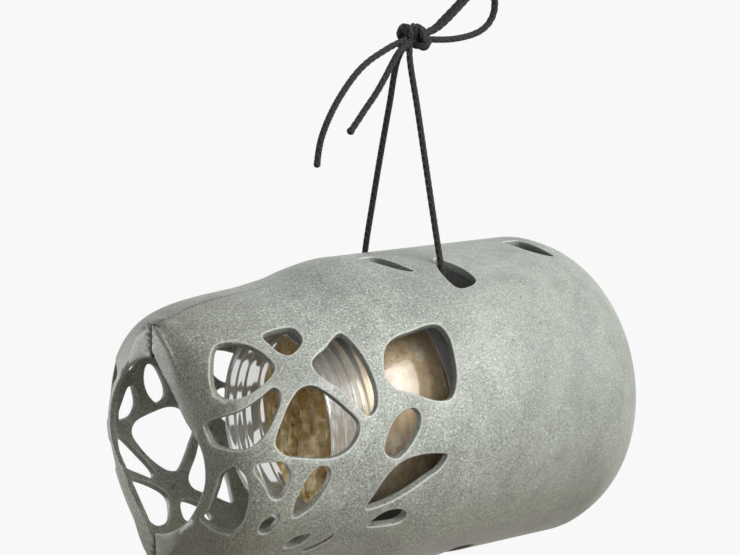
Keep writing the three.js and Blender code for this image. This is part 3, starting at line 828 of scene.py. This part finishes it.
# %% [markdown]
# ## Lip, ribs and ejector pad
#
# A lip along the lower seam enters the rebate in the other half, as on any lap joint. Three ribs carry
# the jar, and a small round pad marks where a pin pushed the moulding out. They could be raised from the
# wall's own faces, but the windows set those. Closed bodies that sink a little into the wall look the
# same. The lip follows the seam, so it is a narrow grid laid along it and folded into a bar. The ribs are
# a short profile spun half a turn, and the pad is a low bevelled disc.

# %% Add the lip
lip_start, lip_step, lip_depths = 6, 1.2, (1.85, 2.1, 2.7, 2.95)
lip_run = np.arange(opening[-1, 0] + lip_start, run_length - 0.8, lip_step)
lip_faces = [rolled(lip_run, math.pi / 2 * outline_r(lip_run), depth) for depth in lip_depths]
# Each corner of the lip's section names one of these rows and how far it lies over the seam.
lip_section = [(0, -0.6), (0, 1.1), (1, 1.35), (2, 1.35), (3, 1.1), (3, -0.6), (0, -0.6)]
lip = bmesh.new()
bmesh.ops.create_grid(lip, x_segments=len(lip_run) - 1, y_segments=len(lip_section) - 1, size=0.5)
spot = places(lip)
ring = np.rint((spot[:, 0] + 0.5) * (len(lip_run) - 1)).astype(int)
corner = np.rint((spot[:, 1] + 0.5) * (len(lip_section) - 1)).astype(int)
move_to(lip, [
    (lip_faces[lip_section[k][0]][i, 0], lip_section[k][1], lip_faces[lip_section[k][0]][i, 2])
    for i, k in zip(ring, corner)
])
bmesh.ops.remove_doubles(lip, verts=lip.verts, dist=merge_distance)
close_ends(lip)
print("lip reaches", lip_section[2][1], "mm over the seam, faces", len(lip.faces))
add_to(shell_work, lip)

# %% Add the ribs
rib_inner, rib_outer, rib_thickness, rib_edge = 39.2, 52.6, 2.2, 0.35
for front in (99.2, 119.4, 139.6):
    rear = front + rib_thickness
    profile = [
        (front + rib_edge, rib_inner), (front, rib_inner + rib_edge), (front, rib_outer), (rear, rib_outer),
        (rear, rib_inner + rib_edge), (rear - rib_edge, rib_inner),
    ]
    rib = bmesh.new()
    corners = [rib.verts.new((x, 0, r)) for x, r in profile]
    edges = [rib.edges.new((a, b)) for a, b in zip(corners, corners[1:] + corners[:1])]
    bmesh.ops.spin(rib, geom=corners + edges, axis=(1, 0, 0), angle=math.pi, steps=90)
    points = places(rib)
    points[:, 1] = -np.maximum(np.abs(points[:, 1]), seam_gap / 2)
    move_to(rib, points)
    close_ends(rib)
    add_to(shell_work, rib)
    print("rib at", front, "to", round(rear, 1))

# %% Add the ejector pad
pad_place, pad_turn, pad_radius, pad_height = 30.0, math.radians(52), 2.3, 0.6
pad_run = np.interp([pad_place], outline_x(wall_run), wall_run)
pad_across = (pad_turn - math.pi / 2) * outline_r(pad_run)
pad_face, pad_root = (Vector(rolled(pad_run, pad_across, depth)[0]) for depth in (wall, wall - 1))
pad = bmesh.new()
bmesh.ops.create_cone(
    pad, cap_ends=True, segments=40, radius1=pad_radius, radius2=pad_radius, depth=2 * pad_height,
)
sharp = [edge for edge in pad.edges if edge.calc_face_angle(0) > 1]
bmesh.ops.bevel(
    pad, geom=sharp, offset=0.15, segments=2, profile=0.5, affect="EDGES", material=-1,
)
lean = (pad_face - pad_root).to_track_quat("Z", "Y").to_matrix().to_4x4()
bmesh.ops.transform(pad, matrix=Matrix.Translation(pad_face) @ lean, verts=pad.verts)
add_to(shell_work, pad)
print("pad at", [round(value, 1) for value in pad_face])

# %% [markdown]
# Turned half a turn about the long axis, one moulding is the other half. A mirror image would fit the
# outline as well, but both lips would then lie on the same seam. The right half is therefore a copy of
# the left half's bmesh, turned by 180 degrees, as the real one comes out of the same mould.

# %% Both halves
right_work = shell_work.copy()
bmesh.ops.rotate(right_work, verts=right_work.verts, matrix=Matrix.Rotation(math.pi, 3, "X"))
half = make_piece("left_half_shell", shell_work)
right = make_piece("right_half_shell", right_work)
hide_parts("left_shell")
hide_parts("right_shell")

# %% [markdown]
# ## The glass jar
#
# A jar could be put together from cylinders, but every shoulder and bead would be one more joint to hide.
# It is turned instead: its profile is drawn once, down the outside and back up the inside, and spun a
# full turn round the long axis. The screw thread isn't turned: it climbs. After the spin each vertex of
# the neck is moved out by a ridge whose place depends on the turn, which makes a true helix that fades in
# and out at its ends.

# %% Spin a profile
def spun(profile, columns, closed):
    """Spins (place along the axis, radius) rows a full turn round the long axis."""
    work = bmesh.new()
    corners = [work.verts.new((x, 0, r)) for x, r in profile]
    pairs = list(zip(corners, corners[1:])) + ([(corners[-1], corners[0])] if closed else [])
    edges = [work.edges.new((a, b)) for a, b in pairs if a.co.z > 0 or b.co.z > 0]
    bmesh.ops.spin(
        work, geom=corners + edges, axis=(1, 0, 0), angle=2 * math.pi, steps=columns, use_merge=True,
    )
    close_up(work)
    return work


def round_corner(centre, radius, start, end, count):
    """Rows of a profile that follow an arc, between two angles in degrees."""
    return [
        (centre[0] + radius * math.cos(angle), centre[1] + radius * math.sin(angle))
        for angle in np.radians(np.linspace(start, end, count))
    ]


print("a rounded corner of radius 1 runs through", len(round_corner((0, 0), 1, 0, 90, 6)), "rows")

# %% Outside of the jar
jar_mouth, finish_radius, body_radius, panel_radius = 48.5, 34.5, 40.0, 38.3
swell_shares, shoulder_length = np.linspace(0, 1, 26), 20
outside = round_corner((1.3, finish_radius - 1.3), 1.3, 180, 90, 6)
outside += [(t, finish_radius) for t in np.arange(1.6, 13.9, 0.32)]
outside += [(14.2, 34.8), (14.6, 35.4), (15.0, 36.0), (15.4, 36.3), (15.8, 36.1), (16.3, 35.5)]
outside += [(16.9, 34.8)]
outside += [
    (17.7 + shoulder_length * u, finish_radius + (body_radius - finish_radius) * math.sin(u * math.pi / 2))
    for u in swell_shares
]
outside += [(t, body_radius) for t in (39.5, 41.5, 43.5)]
outside += [(44.2, 39.85), (44.8, 39.4), (45.4, 38.8), (46.0, 38.42), (46.8, panel_radius)]
outside += [(t, panel_radius) for t in np.linspace(50, 93, 10)]
outside += [(94.0, 38.42), (94.7, 38.9), (95.3, 39.5), (95.9, 39.88)]
outside += [(t, body_radius) for t in (96.8, 103)]
outside += round_corner((109.0, 34.0), 6.0, 90, 0, 14)[:-1]
outside += [(115.0, 33.0), (115.0, 31.4), (114.6, 30.4), (113.6, 29.6), (112.8, 28), (112.6, 0.0)]
print("jar is", max(t for t, r in outside), "mm long")

# %% Inside of the jar
bore_radius, bore_growth = 31.9, 3.8
inner_wall = [(110.0, 0.0), (110.0, 27.0)] + round_corner((104.0, 29.7), 6.0, 0, 90, 12)
inner_wall += [(t, bore_radius + bore_growth) for t in np.linspace(98, 44, 14)]
inner_wall += [
    (20.3 + shoulder_length * u, bore_radius + bore_growth * math.sin(u * math.pi / 2))
    for u in swell_shares[::-1]
]
inner_wall += [(t, bore_radius) for t in np.linspace(18, 1.4, 12)]
inner_wall += round_corner((1.2, 33.1), 1.2, 270, 190, 5)
jar_work = spun([(t + jar_mouth, r) for t, r in outside + inner_wall], columns=168, closed=True)
print("its glass is", round(body_radius - bore_radius - bore_growth, 1), "mm thick")

# %% Raise the thread
thread_pitch, thread_height, thread_width = 3.9, 1.15, 1.5
thread_start, thread_end, thread_fade = 2.4, 12.6, 0.7
jar_points = places(jar_work)
x, y, z = jar_points.T
along, radius, turn = x - jar_mouth, np.hypot(y, z), np.arctan2(-y, z)
neck = (radius > finish_radius - 0.05) & (along > 1.2) & (along < 14)
ridge = np.zeros(len(along))
for k in range(-1, 4):
    centre = 2.6 + thread_pitch * (turn / (2 * math.pi) + k)
    fade = np.clip((centre - thread_start) / thread_fade, 0, 1)
    fade = fade * np.clip((thread_end - centre) / thread_fade, 0, 1)
    shape = np.clip(1 - np.abs(along - centre) / thread_width, 0, 1)
    ridge = np.maximum(ridge, fade * np.sin(shape * math.pi / 2))
grow = 1 + np.where(neck, ridge * thread_height, 0) / np.maximum(radius, 1)
move_to(jar_work, jar_points * np.column_stack([np.ones(len(grow)), grow, grow]))
jar = make_piece("clear_jar", jar_work)
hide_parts("glass_jar")

# %% [markdown]
# The label is a plain strip of paper in the jar's sunken panel. A pale band painted on the glass would do
# from afar, but paper has an edge that catches the light, so it is a thin band of its own, spun from a
# narrow profile.

# %% Label
label_front, label_rear = jar_mouth + 46.7, jar_mouth + 94.0
label_inner, label_outer = 38.62, 38.9
label = make_piece("paper_label", spun([
    (label_front, label_inner), (label_front, label_outer - 0.02), (label_front + 0.3, label_outer),
    (label_rear - 0.3, label_outer), (label_rear, label_outer - 0.02), (label_rear, label_inner),
], columns=144, closed=True))
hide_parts("jar_label")

# %% [markdown]
# ## The peanut butter
#
# It fills the jar to its walls, and birds have worked its open face into a lumpy hollow. The body is spun
# as the jar is. A bump map alone would leave the face flat where light grazes it, and sculpting by hand
# can't be repeated by a script. So each point of the face moves in or out by a sum of long waves, small
# mounds where pieces of nut lie under the surface, and narrow upright grooves left by beaks.

# %% Spin the filling
fill_face, fill_bore = 15.4, 31.75
fill_rows = [(fill_face, fill_bore * u) for u in np.linspace(0, 1, 74)]
fill_rows += [(t, fill_bore) for t in (17, 18.6, 20.2)]
fill_rows += [
    (20.5 + 19.9 * u, fill_bore + bore_growth * math.sin(u * math.pi / 2)) for u in np.linspace(0.05, 1, 18)
]
fill_rows += [(t, 35.55) for t in np.linspace(46, 102, 12)]
fill_rows += round_corner((103.8, 29.55), 6.0, 90, 0, 8) + [(109.8, 15), (109.8, 0)]
butter_work = spun([(t + jar_mouth, r) for t, r in fill_rows], columns=200, closed=False)
print("vertices of the filling", len(butter_work.verts))

# %% Waves and mounds of its face
chance, waves, mounds, grooves = np.random.default_rng(7), 14, 190, 46
butter_points = places(butter_work)
x, y, z = butter_points.T
height = np.zeros(len(x))
for _ in range(waves):
    direction = chance.normal(0, 1, 2)
    direction /= np.linalg.norm(direction)
    wave = (y * direction[0] + z * direction[1]) * 2 * math.pi / chance.uniform(5, 17)
    height += 0.26 * np.sin(wave + chance.uniform(0, 2 * math.pi))
for _ in range(mounds):
    py, pz = chance.uniform(-31, 31, 2)
    rise, width = chance.uniform(0.3, 1.1), chance.uniform(0.8, 2.1)
    height += rise * np.exp(-((y - py) ** 2 + (z - pz) ** 2) / width ** 2)
print("waves and mounds rise", round(float(height.max()), 1), "mm at most")

# %% Grooves and hollow of its face
scoop_depth, edge_width = 2.2, 3
for _ in range(grooves):
    py, pz = chance.uniform(-29, 29, 2)
    lean, half_length = chance.uniform(-0.35, 0.35), chance.uniform(2, 7)
    along, beside = (z - pz) + (y - py) * lean, (y - py) - (z - pz) * lean
    height -= chance.uniform(0.6, 1.6) * np.exp(-(beside / 0.6) ** 2 - (along / half_length) ** 4)
to_axis = np.hypot(y, z)
on_face = x - jar_mouth < fill_face + 0.1
scoop = scoop_depth * (1 - np.clip(to_axis / fill_bore, 0, 1) ** 2)
edge = np.clip((fill_bore - to_axis) / edge_width, 0, 1)
butter_points[:, 0] = np.where(on_face, x + scoop - height * (0.35 + 0.65 * edge), x)
move_to(butter_work, butter_points)
print("relief of the face", round(float(np.ptp(height[on_face])), 1), "mm")
butter = make_piece("peanut_butter_fill", butter_work)
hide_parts("peanut_butter")

# %% [markdown]
# ## What moves with what
#
# The left half carries the knot and hangs from it, the right half swings open on the crest, and the jar
# moves by itself, with its label and filling. Two runs of the cord reach across to the right half. If
# they rode on one body they would tear off the other, so they bend between the two.

# %% Bodies
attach(half, "left_half")
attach(right, "right_half")
for piece in (jar, label, butter):
    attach(piece, "jar")
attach(knot, "left_half")
for name in ("cord_left_strand", "long_tail", "short_tail", "loop_cord_front", "loop_cord_back"):
    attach(cord_pieces[name], "left_half")
inner_ends = to_part(cord_routes["cord_inner_run"])
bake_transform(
    cord_pieces["cord_inner_run"], "left_half", "right_half", start=inner_ends[0], end=inner_ends[-1],
)
strand_ends = to_part(cord_routes["cord_right_strand"])
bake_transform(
    cord_pieces["cord_right_strand"], "left_half", "right_half", start=strand_ends[-1], end=strand_ends[0],
)
print("bodies: left_half, right_half, jar")

# %% [markdown]
# ## Finishes
#
# Each finish is one Principled shader fed by procedural textures. An image would show its pixels up
# close, while these are sharp at any distance. They read the piece's own coordinates, in metres, so a
# noise scale of 1000 gives grains about a millimetre apart. The next two cells hold the node helpers that
# the finishes share.

# %% Node helpers for textures
def new_finish(name, coordinates="Object"):
    finish = bpy.data.materials.new(name)
    finish.use_nodes = True
    tree = finish.node_tree
    where = tree.nodes.new("ShaderNodeTexCoord").outputs[coordinates]
    return finish, tree, tree.nodes["Principled BSDF"], where


def noise(tree, where, scale, detail=3.0, roughness=0.5):
    node = tree.nodes.new("ShaderNodeTexNoise")
    for socket, value in (("Scale", scale), ("Detail", detail), ("Roughness", roughness)):
        node.inputs[socket].default_value = value
    tree.links.new(where, node.inputs["Vector"])
    return node.outputs["Fac"]


def stretched(tree, where, scale):
    node = tree.nodes.new("ShaderNodeMapping")
    node.inputs["Scale"].default_value = scale
    tree.links.new(where, node.inputs["Vector"])
    return node.outputs["Vector"]


def ramp(tree, value, stops):
    """Turns a value into a colour or a grey, by rows of (place, colour or grey)."""
    node = tree.nodes.new("ShaderNodeValToRGB")
    while len(node.color_ramp.elements) < len(stops):
        node.color_ramp.elements.new(0.5)
    for element, (place, colour) in zip(node.color_ramp.elements, stops):
        element.position = place
        element.color = (*colour, 1) if isinstance(colour, tuple) else (colour, colour, colour, 1)
    tree.links.new(value, node.inputs["Fac"])
    return node.outputs["Color"]


print("texture helpers: new_finish, noise, stretched, ramp")

# %% Node helpers for sums and heights
def multiply(tree, factor, first, second):
    node = tree.nodes.new("ShaderNodeMix")
    node.data_type, node.blend_type = "RGBA", "MULTIPLY"
    node.inputs[0].default_value = factor
    tree.links.new(first, node.inputs[6])
    tree.links.new(second, node.inputs[7])
    return node.outputs[2]


def mix(tree, factor, first, second):
    """Blends two colours. The second may be a socket or a plain colour."""
    node = tree.nodes.new("ShaderNodeMix")
    node.data_type = "RGBA"
    tree.links.new(factor, node.inputs[0])
    tree.links.new(first, node.inputs[6])
    if isinstance(second, tuple):
        node.inputs[7].default_value = (*second, 1)
    else:
        tree.links.new(second, node.inputs[7])
    return node.outputs[2]


def worked(tree, operation, value, second=0.0, third=0.0):
    """One sum of a Math node."""
    node = tree.nodes.new("ShaderNodeMath")
    node.operation = operation
    node.inputs[1].default_value, node.inputs[2].default_value = second, third
    tree.links.new(value, node.inputs[0])
    return node.outputs[0]


def share_along(tree, where, axis, start, length):
    """0 at `start` and 1 a `length` further along an axis, both in millimetres of the shell's frame."""
    split = tree.nodes.new("ShaderNodeSeparateXYZ")
    tree.links.new(where, split.inputs[0])
    offset = shell_place["XYZ".index(axis)] - start
    return worked(tree, "MULTIPLY_ADD", split.outputs[axis], 1000 / length, offset / length)


def bump(tree, shader, height, strength, distance):
    node = tree.nodes.new("ShaderNodeBump")
    node.inputs["Strength"].default_value = strength
    node.inputs["Distance"].default_value = distance
    tree.links.new(height, node.inputs["Height"])
    tree.links.new(node.outputs["Normal"], shader.inputs["Normal"])


print("other helpers: multiply, mix, worked, share_along, bump")

# %% [markdown]
# The shell is moulded from recycled plastic, grey-green with a fine light and dark grain, cloudy where
# the melt flowed. One noise could not give all three sizes, so the sand-sized grain comes from one, dust
# from a finer one, and the clouds from two soft ones. The grain is stronger at the front, where the wall
# is cut up into ribs, and fades towards the rear, so the place along the feeder blends it with a plain
# colour. A sparse noise adds a few dark specks.

# %% Speckled plastic
plastic, tree, shader, where = new_finish("speckled_plastic")
grain = noise(tree, where, scale=1450, detail=2.0, roughness=0.7)
dust = noise(tree, where, scale=3000, detail=1.0, roughness=0.5)
specks = noise(tree, where, scale=420, detail=1.0, roughness=0.4)
speckle = ramp(tree, grain, [
    (0.30, (0.171, 0.181, 0.158)), (0.45, (0.357, 0.382, 0.338)), (0.57, (0.459, 0.492, 0.441)),
    (0.70, (0.80, 0.853, 0.785)),
])
colour = multiply(tree, 0.7, speckle, ramp(tree, dust, [(0.40, 0.78), (0.60, 1.0)]))
along_shell = share_along(tree, where, "X", 0, shell_length)
rearward = ramp(tree, along_shell, [(0.35, 0.05), (0.75, 0.55)])
colour = mix(tree, rearward, colour, (0.397, 0.428, 0.384))
for scale, dark in ((30, 0.80), (160, 0.86)):
    cloud = noise(tree, stretched(tree, where, (1.0, 1.0, 0.6)), scale, detail=4.0, roughness=0.6)
    colour = multiply(tree, 1.0, colour, ramp(tree, cloud, [(0.38, dark), (0.60, 1.0)]))
colour = multiply(tree, 1.0, colour, ramp(tree, specks, [(0.20, 0.55), (0.25, 1.0)]))
print("nodes in the plastic so far:", len(tree.nodes))

# %% [markdown]
# Four marks follow the shape. They could be painted by hand, but then a changed shape loses them, so each
# reads where it is. The windows' rims get a painted highlight, paler, and their walls get painted shade,
# darker. Both read the number that the sheet stored, which is 1 on a wall and falls to 0 within 2 mm. The
# nose and the keel get painted shade, a little darker and browner towards the front and the bottom. The
# seam collects dirt, most at the nose.

# %% Painted highlight and shade on the rims, painted shade on the nose and keel
rims = tree.nodes.new("ShaderNodeAttribute")
rims.attribute_name = "rim"
# Painted highlight: the rounded rims are mixed towards a pale grey.
painted_rim_highlight = ramp(tree, rims.outputs["Fac"], [(0.24, 0.0), (0.45, 0.34), (0.70, 0.32), (0.90, 0.05)])
colour = mix(tree, painted_rim_highlight, colour, (0.88, 0.90, 0.86))
# Painted shade: the windows' walls are darkened.
colour = multiply(tree, 1.0, colour, ramp(tree, rims.outputs["Fac"], [(0.82, 1.0), (0.97, 0.76)]))
# Painted shade: the nose is darker and browner towards the front.
painted_nose_shade = ramp(tree, along_shell, [(0.0, (0.80, 0.78, 0.73)), (0.22, (1.0, 1.0, 1.0))])
above_keel = share_along(tree, where, "Z", -shell_radius, 2 * shell_radius)
# Painted shade: the body is darker and browner towards the bottom.
painted_keel_shade = ramp(tree, above_keel, [
    (0.02, (0.62, 0.58, 0.50)), (0.20, (0.82, 0.80, 0.74)), (0.42, (1.0, 1.0, 1.0)),
])
colour = multiply(tree, 1.0, multiply(tree, 1.0, colour, painted_nose_shade), painted_keel_shade)
print("nodes in the plastic so far:", len(tree.nodes))

# %% Dirt in the seam, and gloss
from_seam = worked(tree, "ABSOLUTE", share_along(tree, where, "Y", 0, 1))
dirt = ramp(tree, from_seam, [(0.22, 0.20), (0.42, 1.0)])
dirt = mix(tree, ramp(tree, along_shell, [(0.15, 0.0), (0.45, 0.75)]), dirt, (1.0, 1.0, 1.0))
colour = multiply(tree, 1.0, colour, dirt)
tree.links.new(colour, shader.inputs["Base Color"])
tree.links.new(ramp(tree, dust, [(0.3, 0.34), (0.7, 0.52)]), shader.inputs["Roughness"])
shader.inputs["Specular IOR Level"].default_value = 0.38
bump(tree, shader, grain, strength=0.42, distance=0.0001)
print(plastic.name, "has", len(tree.nodes), "nodes")

# %% [markdown]
# The cord's finish is nearly black. One flat black would hide the braid, so a noise drawn out along the
# cord gives it fibres. It reads the UV map that was kept in millimetres, because Object coordinates
# wouldn't follow the cord's bends, and a sheen gives the soft light edge of braided polyester.

# %% Dark braid
braid, tree, shader, where = new_finish("dark_braid", "UV")
fibre = noise(tree, stretched(tree, where, (2.2, 26, 1)), scale=2.0, detail=2.0, roughness=0.6)
strands = ramp(tree, fibre, [(0.35, (0.003, 0.0028, 0.0026)), (0.68, (0.045, 0.041, 0.037))])
tree.links.new(strands, shader.inputs["Base Color"])
shader.inputs["Roughness"].default_value = 0.8
shader.inputs["Specular IOR Level"].default_value = 0.3
shader.inputs["Sheen Weight"].default_value = 0.1
bump(tree, shader, fibre, strength=0.5, distance=0.0001)
print(braid.name, "has", len(tree.nodes), "nodes")

# %% [markdown]
# Glass could be made see-through with alpha, but then it would not bend the light. So it is a Principled
# shader with transmission. This jar is handled and a little greasy, so the transmission stays short of
# full, most of all along the thread, whose many small faces scatter the light and look silvery. A ramp on
# the place along the jar sets it. Lamps can't be sampled through glass, so what lies behind it would stay
# dark. For shadow rays it is therefore mixed with a clear Transparent shader.

# %% Clear glass
glass, tree, shader, where = new_finish("clear_glass")
shader.inputs["Base Color"].default_value = (0.97, 0.985, 0.98, 1)
shader.inputs["Roughness"].default_value = 0.09
shader.inputs["IOR"].default_value = 1.5
from_mouth = share_along(tree, where, "X", jar_mouth, 40)
tree.links.new(ramp(tree, from_mouth, [(0.40, 0.83), (0.62, 0.94)]), shader.inputs["Transmission Weight"])
waves_in_glass = noise(tree, where, scale=90, detail=1.0, roughness=0.4)
bump(tree, shader, waves_in_glass, strength=0.12, distance=0.0004)
print(glass.name, "has", len(tree.nodes), "nodes")

# %% Let shadow rays through the glass
clear = tree.nodes.new("ShaderNodeBsdfTransparent")
clear.inputs["Color"].default_value = (0.99, 1.0, 0.995, 1)
through = tree.nodes.new("ShaderNodeMixShader")
tree.links.new(tree.nodes.new("ShaderNodeLightPath").outputs["Is Shadow Ray"], through.inputs[0])
tree.links.new(shader.outputs[0], through.inputs[1])
tree.links.new(clear.outputs[0], through.inputs[2])
tree.links.new(through.outputs[0], tree.nodes["Material Output"].inputs["Surface"])
print("shadow rays meet", clear.bl_label)

# %% [markdown]
# The label is plain pale paper. Flat colour would look like plastic, so a fine noise gives it fibres, in
# colour and in height.

# %% Plain paper
paper, tree, shader, where = new_finish("plain_paper")
fibres = noise(tree, where, scale=900, detail=3.0, roughness=0.6)
pulp = ramp(tree, fibres, [(0.3, (0.76, 0.74, 0.80)), (0.7, (0.86, 0.84, 0.90))])
tree.links.new(pulp, shader.inputs["Base Color"])
shader.inputs["Roughness"].default_value = 0.6
bump(tree, shader, fibres, strength=0.2, distance=0.00004)
print(paper.name, "has", len(tree.nodes), "nodes")

# %% [markdown]
# Chunky peanut butter is tan with paler pieces of nut, darker oily creases and specks of skin. One colour
# would make it look like clay, so each of the three has its own texture: a noise drawn out upright gives
# the creases, a Voronoi pattern the pieces, and a fine noise the specks. Where it is pressed against the
# glass it looks darker and pinker. It is moist, so it is fairly glossy, and a little light passes through
# it.

# %% Chunky peanut butter
spread, tree, shader, where = new_finish("chunky_peanut_butter")
upright = stretched(tree, where, (1.5, 1.5, 0.55))
ridges = noise(tree, upright, scale=120, detail=4.0, roughness=0.6)
crumbs = noise(tree, where, scale=800, detail=3.0, roughness=0.6)
pieces = tree.nodes.new("ShaderNodeTexVoronoi")
pieces.inputs["Scale"].default_value = 190
tree.links.new(upright, pieces.inputs["Vector"])
colour = ramp(tree, ridges, [
    (0.30, (0.50, 0.28, 0.07)), (0.43, (0.80, 0.56, 0.20)), (0.56, (0.90, 0.70, 0.32)),
    (0.70, (0.98, 0.86, 0.54)),
])
skins = ramp(tree, crumbs, [(0.32, (0.45, 0.32, 0.20)), (0.43, (1.0, 1.0, 1.0))])
nuts = ramp(tree, pieces.outputs["Distance"], [(0.25, (1.0, 1.0, 1.0)), (0.62, (0.66, 0.52, 0.38))])
colour = multiply(tree, 0.7, multiply(tree, 0.8, colour, skins), nuts)
print("nodes in the peanut butter so far:", len(tree.nodes))

# %% Peanut butter against the glass, and its gloss
behind_face = share_along(tree, where, "X", jar_mouth + fill_face + 1.1, 10)
pressed = ramp(tree, behind_face, [(0.1, (1.0, 1.0, 1.0)), (0.7, (0.64, 0.62, 0.74))])
colour = multiply(tree, 1.0, colour, pressed)
tree.links.new(colour, shader.inputs["Base Color"])
shader.inputs["Roughness"].default_value = 0.42
shader.inputs["Subsurface Weight"].default_value = 0.1
shader.inputs["Subsurface Radius"].default_value = (0.003, 0.0015, 0.0008)
bump(tree, shader, ridges, strength=1.0, distance=0.0025)
print(spread.name, "has", len(tree.nodes), "nodes")

# %% Put the finishes on
for piece, finish in (
    (half, plastic), (right, plastic), (knot, braid), (jar, glass), (label, paper), (butter, spread),
    *((piece, braid) for piece in cord_pieces.values()),
):
    piece.data.materials.clear()
    piece.data.materials.append(finish)
    print(piece.name, "is finished in", finish.name)

# %% [markdown]
# ## The studio
#
# The photograph's background is plain and nearly white. Turning the lamps up until a grey floor clips
# would burn out the feeder, so the floor and the world show their own white to rays from the camera, from
# glass and from gloss, and light the feeder at a plain level otherwise.

# %% White to the camera
def shown_share(tree, share):
    """A factor that is `share` for camera, glossy and transmission rays, and 0 for the others."""
    path = tree.nodes.new("ShaderNodeLightPath")
    total = path.outputs["Is Camera Ray"]
    for kind in ("Is Glossy Ray", "Is Transmission Ray"):
        either = tree.nodes.new("ShaderNodeMath")
        either.operation = "MAXIMUM"
        tree.links.new(total, either.inputs[0])
        tree.links.new(path.outputs[kind], either.inputs[1])
        total = either.outputs[0]
    scaled = tree.nodes.new("ShaderNodeMath")
    scaled.operation = "MULTIPLY"
    scaled.inputs[1].default_value = share
    tree.links.new(total, scaled.inputs[0])
    return scaled.outputs[0]


def show_white(tree, share, plain, shown, output):
    """Shows one shader to the camera, glass and gloss, and lights the feeder by the other."""
    blend = tree.nodes.new("ShaderNodeMixShader")
    tree.links.new(shown_share(tree, share), blend.inputs[0])
    tree.links.new(plain.outputs[0], blend.inputs[1])
    tree.links.new(shown.outputs[0], blend.inputs[2])
    tree.links.new(blend.outputs[0], output.inputs["Surface"])


print("rays that see white: camera, glossy, transmission")

# %% Floor
floor_drop, floor_reach = 0.45, 28
floor_height = cad_box[0][2] - floor_drop
floor_work = bmesh.new()
bmesh.ops.create_grid(floor_work, x_segments=1, y_segments=1, size=floor_reach)
bmesh.ops.translate(floor_work, verts=floor_work.verts, vec=(0, 0, floor_height))
floor_mesh = bpy.data.meshes.new("floor")
floor_work.to_mesh(floor_mesh)
floor_work.free()
floor = bpy.data.objects.new("floor", floor_mesh)
scene.collection.objects.link(floor)
print("floor lies", round((cad_box[0][2] - floor_height) * 1000), "mm below the feeder")

# %% Finish of the floor
pale = bpy.data.materials.new("pale_floor")
pale.use_nodes = True
tree = pale.node_tree
tree.nodes.clear()
plain = tree.nodes.new("ShaderNodeBsdfDiffuse")
plain.inputs["Color"].default_value = (0.40, 0.33, 0.25, 1)
shown = tree.nodes.new("ShaderNodeEmission")
shown.inputs["Color"].default_value = (0.978, 0.978, 0.978, 1)
show_white(tree, 0.96, plain, shown, tree.nodes.new("ShaderNodeOutputMaterial"))
floor.data.materials.append(pale)
print("the floor is shown at", round(shown.inputs["Color"].default_value[0], 3))

# %% World
world = bpy.data.worlds.new("studio")
scene.world = world
world.use_nodes = True
tree = world.node_tree
tree.nodes.clear()
plain = tree.nodes.new("ShaderNodeBackground")
plain.inputs["Color"].default_value = (1.0, 0.97, 0.90, 1)
plain.inputs["Strength"].default_value = 0.04
shown = tree.nodes.new("ShaderNodeBackground")
shown.inputs["Color"].default_value = (0.947, 0.947, 0.947, 1)
show_white(tree, 1.0, plain, shown, tree.nodes.new("ShaderNodeOutputWorld"))
print("world lights the feeder at", round(plain.inputs["Strength"].default_value, 3))

# %% [markdown]
# The photograph's light is soft and falls from the right and above, so that the nose and the keel go
# darker. One image of a studio could light the scene, but lamps can be weighed one by one. Each was first
# rendered alone to see how bright it makes the top, the side, the nose and the keel, and the powers are a
# mix that comes close to those tones in the photograph. A lamp's size softens its shadows, and its power
# alone sets how much light it gives, so the two can be tuned apart. The fourth lamp looks in at the front
# opening from the far side, and lights the filling and the jar's thread. The last, a weak one, looks in
# at the windows.

# %% Lamps
feeder_middle = Vector(to_part([shell_length / 2, 0, 0]))
lamp_distance = 1.2


def soft_lamp(name, direction, size, power):
    data = bpy.data.lights.new(name, "AREA")
    data.shape, data.size, data.energy = "SQUARE", size, power
    lamp = bpy.data.objects.new(name, data)
    scene.collection.objects.link(lamp)
    towards = Vector(direction).normalized()
    lamp.location = feeder_middle + towards * lamp_distance
    lamp.rotation_mode = "QUATERNION"
    lamp.rotation_quaternion = towards.to_track_quat("Z", "Y")
    print(name, power, "W at", [round(value, 2) for value in lamp.location])


soft_lamp("key", (0.2, -0.75, 0.63), size=1.0, power=14.4)
soft_lamp("right_side", (0.5, -0.8, 0.3), size=0.9, power=5.3)
soft_lamp("overhead", (0.3, 0.0, 1.0), size=0.8, power=1.6)
soft_lamp("into_front", (-0.48, 0.87, 0.0), size=0.6, power=6.5)
soft_lamp("near_side", (-0.45, -0.9, 0.25), size=0.9, power=1.8)
scene.view_settings.view_transform = "Standard"
